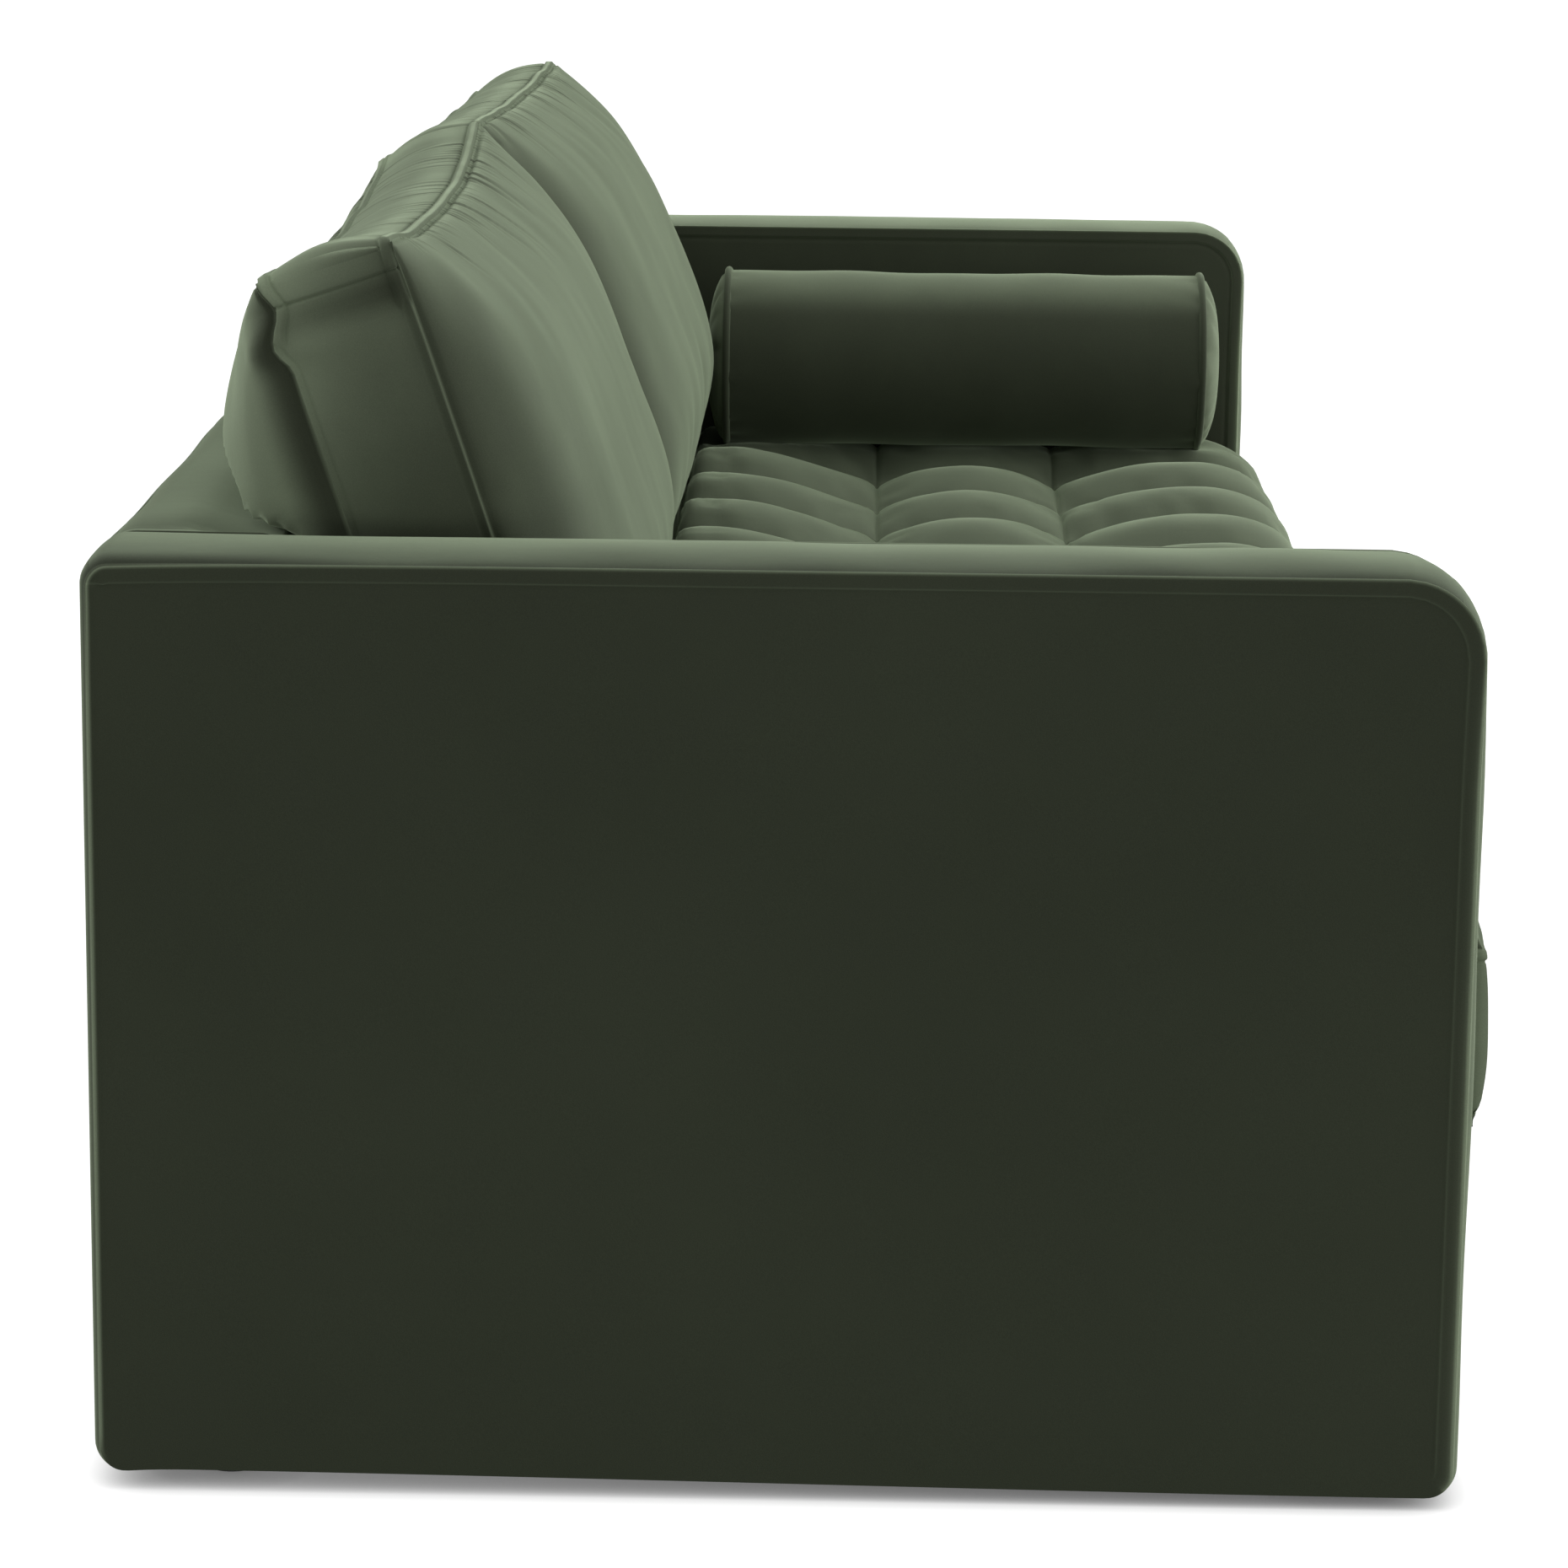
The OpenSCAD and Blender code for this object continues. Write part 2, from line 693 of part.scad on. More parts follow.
seat_y0 = seat_front_y + seat_bulge;
tuft_ys = [seat_y0 + front_row, seat_y0 + front_row + tuft_row];
seat_y1 = seat_rear_y - seat_side_bulge;
seat_x1 = seat_w / 2 - seat_side_bulge;
seat_xs = [for (i = [0:tuft_columns * column_steps])
    -seat_x1 + 2 * seat_x1 * i / (tuft_columns * column_steps)];
seat_ys = concat(
    [for (s = front_row_shares) seat_y0 + s * (tuft_ys[0] - seat_y0)],
    [for (s = tuft_row_shares) tuft_ys[0] + s * tuft_row],
    [for (s = rear_row_shares) tuft_ys[1] + s * (seat_y1 - tuft_ys[1])],
    [seat_y1]);

function column_groove(x) = let (c = 2 * seat_x1 / tuft_columns, k = round((x + seat_x1) / c))
    k == 0 || k == tuft_columns ? 0 : groove(2 * (x + seat_x1 - k * c) / c);
function row_groove(y) = max(groove(2 * (y - tuft_ys[0]) / tuft_row),
    groove(2 * (y - tuft_ys[1]) / tuft_row));
function seat_edge(x, y) = rise((seat_x1 - abs(x)) / side_round)
    * rise((y - seat_y0) / front_round) * rise((seat_y1 - y) / rear_round);
function seat_top_z(x, y) = let (gx = column_groove(x), gy = row_groove(y))
    seat_seam_z + seat_edge(x, y) * (seat_crown - channel_depth * max(gx, gy)
    - tuft_depth * gx * gy);

// Indices of the border of a grid of nx by ny steps, going round it once
function border_loop(nx, ny) = concat(
    [for (i = [0:nx - 1]) [i, 0]], [for (j = [0:ny - 1]) [nx, j]],
    [for (i = [nx:-1:1]) [i, ny]], [for (j = [ny:-1:1]) [0, j]]);

function grid_faces(nx, ny, start, up) = [for (i = [0:nx - 1], j = [0:ny - 1])
    let (a = start + i * (ny + 1) + j, b = a + ny + 1)
    each up ? [[a, a + 1, b], [b, a + 1, b + 1]] : [[a, b, a + 1], [b, b + 1, a + 1]]];

module tufted_form() {
    nx = len(seat_xs) - 1;
    ny = len(seat_ys) - 1;
    loop = border_loop(nx, ny);
    n = len(loop);
    top = [for (x = seat_xs, y = seat_ys) [x, y, seat_top_z(x, y)]];
    rings = [for (k = [0:len(border_shares) - 1]) [for (p = loop)
        let (x = seat_xs[p[0]], y = seat_ys[p[1]], out = border_bulge_shares[k],
            side = abs(x) > seat_x1 - cut ? sign(x) : 0,
            fore = p[1] == 0 ? -1 : p[1] == ny ? 1 : 0,
            low = border_shares[k] == 0 ? -seat_bottom_draw : 0)
        [x + side * (seat_side_bulge * out + low),
            y + fore * ((fore < 0 ? seat_bulge : seat_side_bulge) * out + low),
            seat_base_z + border_shares[k] * seat_border_h]]];
    edge = [for (p = loop) p[0] * (ny + 1) + p[1]];
    first = len(top);
    last = first + (len(rings) - 1) * n;
    middle = [0, (seat_y0 + seat_y1) / 2, seat_base_z];
    polyhedron(
        points = concat(top, [for (ring = rings) each ring], [middle]),
        faces = concat(
            grid_faces(nx, ny, 0, true),
            [for (i = [0:n - 1]) let (k = (i + 1) % n)
                each [[edge[i], edge[k], first + i], [edge[k], first + k, first + i]]],
            [for (r = [0:len(rings) - 2]) each ring_faces(first + r * n, first + (r + 1) * n, n)],
            [for (i = [0:n - 1]) [last + i, last + (i + 1) % n, last + n]]),
        convexity = 10);
}

module foam_block() {
    block([-seat_x1 + foam_side_gap, seat_y0 + foam_side_gap, seat_base_z + foam_bottom_gap],
        [seat_x1 - foam_side_gap, seat_y1 - foam_side_gap, seat_seam_z - foam_top_gap]);
}

module seat_cushion() {
    color(velvet_light) difference() {
        tufted_form();
        foam_block();
    }
}

module seat_foam() { color(foam) foam_block(); }

module rear_pad() {
    pad_x = inner_x - side_gap;
    color(velvet) extrude_x(-pad_x, pad_x)
        rounded([pad_front_y, seat_base_z], [back_face_y - pad_rear_gap, pad_top_z], pad_edge_r);
}

// Back cushions: two crowned panels and a bulging border between them, leaning on the back
function swing(i, n) = sin(90 * (2 * i / n - 1));
function crown_share(u, v) = pow((1 - pow(abs(u), across_power)) * (1 - pow(abs(v), upward_power)),
    fullness_power);

// Point of a cushion at the share u across, v up, and the depth t from its middle plane
function cushion_point(u, v, t, out) = let (
    x = u * (cushion_half_w - draw_in * (1 - v * v)) + (abs(u) > rim_share ? sign(u) * out : 0),
    h = (v + 1) / 2 * (cushion_h - top_dip * (1 - u * u)) + (abs(v) > rim_share ? sign(v) * out : 0),
    y = cushion_base_y + h * lean_sin + t * lean_cos,
    z = max(cushion_base_z + h * lean_cos - t * lean_sin, cushion_floor_z))
    [x, min(y, back_face_y + over_back), z];

module back_form() {
    nx = across_steps;
    nz = upward_steps;
    loop = border_loop(nx, nz);
    n = len(loop);
    front = [for (i = [0:nx], j = [0:nz]) let (u = swing(i, nx), v = swing(j, nz))
        cushion_point(u, v, -gusset_w / 2 - front_crown * crown_share(u, v), 0)];
    rear = [for (i = [0:nx], j = [0:nz]) let (u = swing(i, nx), v = swing(j, nz))
        cushion_point(u, v, gusset_w / 2 + rear_crown * crown_share(u, v), 0)];
    rings = [for (s = gusset_shares) [for (p = loop)
        cushion_point(swing(p[0], nx), swing(p[1], nz), gusset_w * (s - 0.5),
            gusset_bulge * 4 * s * (1 - s))]];
    edge = [for (p = loop) p[0] * (nz + 1) + p[1]];
    total = len(front);
    first = 2 * total;
    last = first + (len(rings) - 1) * n;
    polyhedron(
        points = concat(front, rear, [for (ring = rings) each ring]),
        faces = concat(
            grid_faces(nx, nz, 0, true),
            grid_faces(nx, nz, total, false),
            [for (i = [0:n - 1]) let (k = (i + 1) % n)
                each [[edge[i], edge[k], first + i], [edge[k], first + k, first + i]]],
            [for (r = [0:len(rings) - 2]) each ring_faces(first + r * n, first + (r + 1) * n, n)],
            [for (i = [0:n - 1]) let (k = (i + 1) % n)
                each [[last + i, last + k, total + edge[i]],
                    [last + k, total + edge[k], total + edge[i]]]]),
        convexity = 6);
}

// Filling of a back cushion: a leaning slab with round edges
module filling_form() {
    x1 = cushion_half_w - filling_side_gap;
    translate([-x1, cushion_base_y, cushion_base_z]) rotate([-lean, 0, 0])
        rotate([90, 0, 90]) linear_extrude(2 * x1)
            rounded([-filling_t / 2, filling_end_gap],
                [filling_t / 2, cushion_h - filling_end_gap], filling_t / 2 - cut);
}

module back_cushion(side) {
    color(velvet_light) translate([side * cushion_mid_x, 0, 0]) difference() {
        back_form();
        filling_form();
        extrude_x(-cushion_mid_x, cushion_mid_x) back_outline(back_rest_gap);
    }
}

module back_filling(side) {
    color(wadding) translate([side * cushion_mid_x, 0, 0]) filling_form();
}

module right_back_cushion() { back_cushion(-1); }
module left_back_cushion() { back_cushion(1); }
module right_back_filling() { back_filling(-1); }
module left_back_filling() { back_filling(1); }

// Bolsters: round, with piped seams and domed ends, lying along the arms
dome_shares = [0.12, 0.4, 0.72, 0.94];

module bolster_half_outline() {
    half = bolster_l / 2;
    polygon(concat(
        [[0, 0], [bolster_r, 0], [bolster_r, half]],
        [for (s = dome_shares) [bolster_r * cos(90 * s), half + bolster_dome * sin(90 * s)]],
        [[0, half + bolster_dome]]));
    translate([bolster_r, half]) circle(r = piping_r, $fn = 16);
}

module bolster_core_form() {
    rotate([90, 0, 0]) cylinder(h = bolster_l - 2 * bolster_core_gap, r = bolster_core_r,
        center = true, $fn = round_fn);
}

// Height of the seat's crest along its last column of squares, at the place y
crest_x = seat_x1 * (1 - 1 / tuft_columns);
function crest_z(y) = lookup(y, [for (s = seat_ys) [s, seat_top_z(crest_x, s)]]);
bolster_z = soft_gap + max(seat_seam_z + seat_crown + bolster_r,
    crest_z(bolster_rear_y) + ring_r, crest_z(bolster_rear_y - bolster_l) + ring_r);

module place_bolster(side) {
    translate([side * bolster_x, bolster_rear_y - bolster_l / 2, bolster_z]) children();
}

module bolster(side) {
    color(velvet) place_bolster(side) difference() {
        rotate([90, 0, 0]) rotate_extrude($fn = round_fn) {
            bolster_half_outline();
            mirror([0, 1]) bolster_half_outline();
        }
        bolster_core_form();
    }
}

module bolster_core(side) { color(foam) place_bolster(side) bolster_core_form(); }
module right_bolster() { bolster(-1); }
module left_bolster() { bolster(1); }
module right_bolster_core() { bolster_core(-1); }
module left_bolster_core() { bolster_core(1); }

right_arm_frame();
left_arm_frame();
right_arm_cover();
left_arm_cover();
back_frame();
back_cover();
glides();
side_ledgers();
rear_ledger();
cross_beam();
beam_brackets();
beam_legs();
leg_feet();
fixed_slats();
slat_pads();
ledger_bolts();
back_bolts();
outer_runners();
middle_runners();
inner_runners();
sliding_side_rails();
sliding_rear_bar();
stop_bumpers();
sliding_slats();
front_rail();
front_panel_cover();
caster_brackets();
caster_axles();
caster_wheel_1();
caster_wheel_2();
caster_wheel_3();
caster_wheel_4();
seat_cushion();
seat_foam();
rear_pad();
right_back_cushion();
left_back_cushion();
right_back_filling();
left_back_filling();
right_bolster();
left_bolster();
right_bolster_core();
left_bolster_core();
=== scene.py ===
"""Covers, cushions, finishes and studio of a tufted sofa bed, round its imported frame.

Lengths are in metres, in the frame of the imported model: X runs across the sofa, the front faces
-Y and Z is up. "Right" and "left" are the sitter's right (-X) and left (+X).
"""

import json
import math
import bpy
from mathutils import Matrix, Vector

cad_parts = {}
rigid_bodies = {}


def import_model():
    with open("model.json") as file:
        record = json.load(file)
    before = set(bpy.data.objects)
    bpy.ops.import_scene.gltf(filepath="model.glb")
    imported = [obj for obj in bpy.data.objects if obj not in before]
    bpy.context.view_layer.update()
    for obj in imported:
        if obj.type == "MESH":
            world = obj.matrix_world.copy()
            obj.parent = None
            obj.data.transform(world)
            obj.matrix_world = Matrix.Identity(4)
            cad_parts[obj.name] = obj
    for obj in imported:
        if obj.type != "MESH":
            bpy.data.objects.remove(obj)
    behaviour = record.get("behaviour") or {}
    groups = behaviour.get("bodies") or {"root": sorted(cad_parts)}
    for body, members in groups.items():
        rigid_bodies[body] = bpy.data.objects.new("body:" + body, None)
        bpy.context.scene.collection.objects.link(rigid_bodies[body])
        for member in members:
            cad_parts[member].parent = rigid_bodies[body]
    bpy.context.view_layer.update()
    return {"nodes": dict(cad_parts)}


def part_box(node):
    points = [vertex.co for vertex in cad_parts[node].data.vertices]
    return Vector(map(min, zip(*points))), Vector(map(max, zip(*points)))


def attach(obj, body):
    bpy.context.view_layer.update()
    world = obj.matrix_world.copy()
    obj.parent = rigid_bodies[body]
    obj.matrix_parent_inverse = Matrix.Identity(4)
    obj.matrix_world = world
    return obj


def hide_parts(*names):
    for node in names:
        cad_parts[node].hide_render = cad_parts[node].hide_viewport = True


bl_info = {
    "name": "Tufted sofa bed",
    "version": (1, 0, 0),
    "blender": (4, 5, 0),
    "location": "3D View > Sidebar > Sofa bed",
    "description": "Builds the velvet covers, cushions, finishes and studio of a pull-out sofa bed",
    "category": "Object",
}

import bpy
import numpy as np
from bpy.props import FloatProperty, FloatVectorProperty, IntProperty, PointerProperty
from mathutils import Matrix, Vector

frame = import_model()
SIDES = {"right": -1, "left": 1}


# Sizes and colours that a user would change


def length(name, description, default, low=0.0, high=3.0):
    return FloatProperty(
        name=name, description=description, default=default, min=low, max=high,
        subtype="DISTANCE", unit="LENGTH", precision=4)


def lengths(name, description, default):
    return FloatVectorProperty(
        name=name, description=description, default=default, size=2, min=0.0, max=3.0,
        subtype="NONE", unit="LENGTH", precision=4)


def angles(name, description, degrees):
    return FloatVectorProperty(
        name=name, description=description, default=[math.radians(v) for v in degrees], size=2,
        min=0.0, max=1.0, unit="ROTATION")


def power(name, description, default):
    return FloatProperty(
        name=name, description=description, default=default, min=0.0, subtype="POWER",
        unit="POWER")


def share(name, description, default, low=0.0, high=1.0):
    return FloatProperty(
        name=name, description=description, default=default, min=low, max=high, subtype="FACTOR")


def colour(name, description, default):
    return FloatVectorProperty(
        name=name, description=description, default=default, size=4, min=0.0, max=1.0,
        subtype="COLOR")


class VelvetSettings(bpy.types.PropertyGroup):
    pile: colour("Pile", "Colour looking straight into the pile", (0.050, 0.060, 0.038, 1.0))
    # The second colour is a painted sheen: the velvet pales towards it at grazing angles, and
    # painted highlights mix towards it
    nap: colour("Nap", "Colour along the lie of the pile", (0.200, 0.243, 0.162, 1.0))
    sheen_tint: colour("Sheen tint", "Colour of the sheen", (0.74, 0.90, 0.62, 1.0))
    sheen: share("Sheen", "Strength of the sheen at grazing angles", 0.60)
    sheen_roughness: share("Sheen roughness", "Spread of the sheen", 0.30)
    mottle: share("Mottle", "Strength of the marks that hands leave in the nap", 0.16)
    grain: FloatProperty(
        name="Grain", description="Tufts of pile in a metre", default=1300.0, min=100.0,
        max=4000.0)


class FinishSettings(bpy.types.PropertyGroup):
    pine: colour("Pine", "Colour of the frame's timber", (0.58, 0.40, 0.22, 1.0))
    pine_late: colour("Pine late wood", "Colour of its dark rings", (0.34, 0.19, 0.08, 1.0))
    birch: colour("Birch", "Colour of the slats", (0.66, 0.50, 0.32, 1.0))
    birch_late: colour("Birch late wood", "Colour of their fine lines", (0.50, 0.35, 0.20, 1.0))
    zinc: colour("Zinc", "Colour of the plated steel", (0.55, 0.56, 0.57, 1.0))
    black: colour("Black", "Colour of the coated legs and mouldings", (0.025, 0.025, 0.026, 1.0))


class ArmSettings(bpy.types.PropertyGroup):
    front_radius: length("Front radius", "Radius of the front top corner", 0.060)
    rear_radius: length("Rear radius", "Radius of the rear top corner", 0.022)
    bottom_radius: length("Bottom radius", "Radius of the bottom corners", 0.018)
    lift: length("Lift", "How far the padding lifts the middle of the top", 0.0008)
    crown: length("Crown", "Height of the crown across the band", 0.0046)
    top_roll: length("Top roll", "Depth to which the top rolls over beside its seams", 0.0012)
    front_roll: length("Front roll", "The same at the front", 0.0055)
    rear_roll: length("Rear roll", "The same at the rear", 0.0072)
    roll_width: length("Roll width", "Width of that roll", 0.020)
    flange: length("Flange", "Width of the flat sewn flange beside the band", 0.0112)
    flange_rise: length("Flange rise", "Height of the flange over the panel", 0.0014)
    lip: length("Lip", "Height of the folded edge between band and flange", 0.0012)
    slack: length("Slack", "Height of the soft waves in the cover", 0.0009)
    hang: length("Hang", "How far the front bottom corner hangs below the rear one", 0.0065)
    right_ease: length("Right ease", "How far the right arm's front is pulled in", 0.0045)


class BackSettings(bpy.types.PropertyGroup):
    top_radius: length("Top radius", "Radius of the top edges", 0.024)
    flange: length("Flange", "Width of the sewn flanges", 0.0100)
    flange_rise: length("Flange rise", "Height of the flanges over the cover", 0.0014)
    slack: length("Slack", "Height of the soft waves in the cover", 0.0014)
    press: length("Press", "How far the back cushions press in the top's front edge", 0.0115)
    end_dip: length("End dip", "How far the top is drawn down beside the arms", 0.0040)


class SeatSettings(bpy.types.PropertyGroup):
    border: length("Border", "Height of the border up to the top seam", 0.127)
    crown: length("Crown", "Height of the tufted top above the seam", 0.050)
    channel: length("Channel", "Depth of the channels between the tufts", 0.024)
    front_swell: length("Front swell", "How far the front squares stand over the others", 0.007)
    rear_swell: length("Rear swell", "How far the squares rise under the back cushions", 0.017)
    tuft: length("Tuft", "Further depth at the tufts", 0.010)
    columns: IntProperty(name="Columns", description="Squares side to side", default=12, min=2)
    front_row: length("Front row", "Front edge to the first row of tufts", 0.232)
    row: length("Row", "Distance between the rows of tufts", 0.189)
    bulge: length("Bulge", "Bulge of the front border", 0.006)
    corner_ease: length("Corner ease", "How far the front is drawn back at its corners", 0.0058)
    flange: length("Flange", "Width of the sewn flange", 0.0090)
    puff: length("Puff", "Most that the cloth may swell", 0.004)


class CushionSettings(bpy.types.PropertyGroup):
    gusset: length("Gusset", "Width of the border, front seam to rear seam", 0.096)
    right_lean: angles("Right lean", "Lean of the right cushion at its outer and inner end",
                       (18.8, 21.9))
    left_lean: angles("Left lean", "Lean of the left cushion at its outer and inner end",
                      (23.2, 22.3))
    right_height: lengths("Right height", "Bottom seam to top seam at the two ends", (0.421, 0.423))
    left_height: lengths("Left height", "Bottom seam to top seam at the two ends", (0.407, 0.421))
    right_dip: length("Right dip", "Dip of the right cushion's top seams", 0.022)
    left_dip: length("Left dip", "Dip of the left cushion's top seams", 0.006)
    front_crown: length("Front crown", "Crown of the front", 0.061)
    rear_crown: length("Rear crown", "Crown of the rear", 0.089)
    draw_in: length("Draw-in", "How far the sides pull in between the corners", 0.007)
    bulge: length("Bulge", "Bulge of the border", 0.010)
    corner: length("Corner", "Rounding of the border's corners", 0.034)
    seam_corner: lengths("Seam corner", "Rounding of the seams' corners, right and left cushion",
                         (0.006, 0.030))
    over_back: length("Over the back", "How far the cushion swells over the back's top", 0.086)
    flange: length("Flange", "Width of the flat sewn flange", 0.0090)
    flange_rise: length("Flange rise", "Height of the flange over the border", 0.0022)
    tab: length("Tab", "Length of the flange that turns down the ends", 0.044)
    puff: length("Puff", "Most that the cloth may swell", 0.007)
    gathers: IntProperty(
        name="Gathers", description="Folds sewn into each long seam", default=46, min=0)


class BolsterSettings(bpy.types.PropertyGroup):
    radius: length("Radius", "Radius of the bolster", 0.0935)
    body: length("Length", "Length between the piped seams", 0.508)
    dome: length("Dome", "Depth of the domed ends", 0.022)
    piping: length("Piping", "Radius of the piping", 0.0042)
    piping_set: length("Piping set", "How deep the piping's middle lies in the cover", 0.0012)


class StudioSettings(bpy.types.PropertyGroup):
    camera_place: FloatVectorProperty(
        name="Camera", description="Place of the camera", default=(-4.4160, -0.0401, 1.1703),
        subtype="TRANSLATION", unit="LENGTH")
    camera_turn: FloatVectorProperty(
        name="Camera turn", description="Heading, downward tilt and roll of the camera",
        default=(0.0163, 0.2076, 0.0112), subtype="EULER", unit="ROTATION")
    lens: FloatProperty(
        name="Lens", description="Focal length in millimetres", default=114.86, min=10.0, max=400.0)
    floor: colour("Floor", "Colour of the floor", (0.30, 0.30, 0.30, 1.0))
    floor_bounce: colour("Floor bounce", "Colour that the floor gives back",
                         (0.30, 0.30, 0.30, 1.0))
    shadow_reach: length("Shadow reach", "Distance at which the floor's shadow has faded", 0.040)
    ambient: share("Ambient", "Strength of the light from all round", 0.40)
    top_light: power("Top light", "Power of the overhead lamp", 18.0)
    front_light: power("Front light", "Power of the lamp before the seat", 48.0)
    rear_light: power("Rear light", "Power of the lamp behind the back", 38.0)
    side_light: power("Side light", "Power of the low lamp beside the right arm", 22.0)
    far_light: power("Far light", "Power of the lamp before the left arm", 15.0)


GROUPS = {
    "sofa_velvet": VelvetSettings,
    "sofa_finish": FinishSettings,
    "sofa_arm": ArmSettings,
    "sofa_back": BackSettings,
    "sofa_seat": SeatSettings,
    "sofa_cushion": CushionSettings,
    "sofa_bolster": BolsterSettings,
    "sofa_studio": StudioSettings,
}


# Skins: points and quads over the surface of a block or along a line


class Skin:
    """A lattice on the six faces of a block, welded along the edges.

    Each of the block's three axes runs from -1 to 1 and has its own list of places.
    """

    def __init__(self, *axes):
        self.axes = [np.asarray(axis, float) for axis in axes]
        size = [len(axis) for axis in self.axes]
        outer = np.zeros(size, bool)
        for k in range(3):
            for end in (0, -1):
                outer[(slice(None),) * k + (end,)] = True
        where = np.argwhere(outer)
        self.ids = np.full(size, -1)
        self.ids[outer] = np.arange(len(where))
        self.places = np.stack([self.axes[k][where[:, k]] for k in range(3)], 1)
        quads = []
        for k in range(3):
            for end in (0, -1):
                face = self.ids.take(end, axis=k)
                quad = np.stack(
                    [face[:-1, :-1], face[1:, :-1], face[1:, 1:], face[:-1, 1:]], -1).reshape(-1, 4)
                quads.append(quad[:, ::-1] if (k == 1) == (end == -1) else quad)
        self.quads = np.concatenate(quads)


def even(span, step):
    """Even places from -1 to 1 along a side of the given span."""
    return np.linspace(-1.0, 1.0, max(2, round(span / step)) + 1)


def places(span, near_low, near_high, step, spots=(), near_spot=()):
    """Places from -1 to 1: at given distances from both ends and from spots, and even between."""
    fixed = [np.asarray(near_low), span - np.asarray(near_high)]
    for spot in spots:
        fixed += [spot + np.asarray(near_spot), spot - np.asarray(near_spot)]
    fixed = np.unique(np.round(np.concatenate(fixed), 6))
    fixed = fixed[(fixed >= 0.0) & (fixed <= span)]
    rows = [fixed[:1]]
    for low, high in zip(fixed[:-1], fixed[1:]):
        rows.append(np.linspace(low, high, max(1, round((high - low) / step)) + 1)[1:])
    return np.concatenate(rows) / span * 2.0 - 1.0


def turned_out(points, quads):
    """The quads, turned so that they face outwards."""
    a, b, c, d = (points[quads[:, k]] for k in range(4))
    volume = np.einsum("ij,ij->i", a, np.cross(b, c) + np.cross(c, d)).sum()
    return quads if volume > 0.0 else quads[:, ::-1]


def outward_normals(points, quads):
    quads = turned_out(points, quads)
    a, b, c, d = (points[quads[:, k]] for k in range(4))
    area = np.cross(c - a, d - b)
    total = np.zeros_like(points)
    for k in range(4):
        np.add.at(total, quads[:, k], area)
    return total / np.maximum(np.linalg.norm(total, axis=1, keepdims=True), 1e-12)


END = 0.9999  # lattice places beyond it lie on the end of their axis


def at_low(place):
    return place < -END


def at_high(place):
    return place > END


def at_end(place):
    return np.abs(place) > END


def ramp(value, reach):
    """Rises evenly from 0 to 1 over a reach."""
    return np.clip(value / reach, 0.0, 1.0)


def smooth_step(low, high, value):
    t = np.clip((value - low) / (high - low), 0.0, 1.0)
    return t * t * (3.0 - 2.0 * t)


def bell(value, width, middle=0.0):
    """1 at the middle, dying out over a width to both sides, like a seam or a fold."""
    return np.exp(-(((value - middle) / width) ** 2))


def soft_min(value, limit, blend):
    """The lower of two, with a round corner between them."""
    h = np.clip(0.5 + 0.5 * (limit - value) / blend, 0.0, 1.0)
    return limit * (1.0 - h) + value * h - blend * h * (1.0 - h)


def swell(points, wave, count, rng):
    """Smooth random height over the points, mostly within -1 and 1."""
    heading = rng.normal(size=(count, 3))
    heading *= (2.0 * np.pi / wave * rng.uniform(0.7, 1.4, count) / np.linalg.norm(
        heading, axis=1))[:, None]
    return np.sin(points @ heading.T + rng.uniform(0.0, 2.0 * np.pi, count)).sum(1) / count ** 0.5


def flange_rise(d, width, rise):
    """Height of a sewn flange at the distance d from its seam: a groove, a flat band, a groove."""
    edge, groove = 0.0014, 0.0011
    band = smooth_step(0.0004, 0.0004 + edge, d) * (1.0 - smooth_step(width - edge, width, d))
    return rise * (band - 0.55 * (bell(d, groove) + bell(d, groove, width)))


def folds(along, away, rng, count, span, reach, depth, width, bend=1.6, lean=0.12):
    """Depth of sewn-in folds: valleys that start at the seam and die out away from it.

    Each starts somewhere in the span, and has its own reach away from the seam, depth and width.
    """
    total = np.zeros_like(along)
    near = away < reach[1]
    s, d = along[near], away[near]
    part = np.zeros_like(s)
    for _ in range(count):
        start = rng.uniform(*span)
        far = reach[0] + (reach[1] - reach[0]) * rng.uniform() ** 2.2
        deep = rng.uniform(*depth) * (0.6 + 0.6 * far / reach[1])
        wide = rng.uniform(*width)
        middle = start + rng.normal(0.0, lean) * d + rng.normal(0.0, bend) * d * d
        off = (s - middle) / (wide * (1.0 + 1.2 * d / far))
        fade = np.clip(1.0 - d / far, 0.0, 1.0) ** 1.1
        # A valley between two low ridges
        part -= deep * fade * (bell(off, 1.0) - 0.35 * bell(np.abs(off), 1.0, 1.9))
    total[near] = part
    return total


def concentric(p, q):
    """Takes a point of a square, -1 to 1 each way, to the disc with the same middle."""
    reach = np.maximum(np.abs(p), np.abs(q))
    scale = np.divide(reach, np.hypot(p, q), out=np.ones_like(reach), where=reach > 0.0)
    return p * scale, q * scale


def round_corner(y, z, corner, radius, sign):
    """Rounds one corner of a box in the YZ plane; sign gives the corner's two directions."""
    p = (y - (corner[0] - sign[0] * radius)) * sign[0] / radius
    q = (z - (corner[1] - sign[1] * radius)) * sign[1] / radius
    inside = (p > 0.0) & (q > 0.0)
    p2, q2 = concentric(np.where(inside, p, 1.0), np.where(inside, q, 0.0))
    y = np.where(inside, corner[0] - sign[0] * radius * (1.0 - p2), y)
    z = np.where(inside, corner[1] - sign[1] * radius * (1.0 - q2), z)
    return y, z


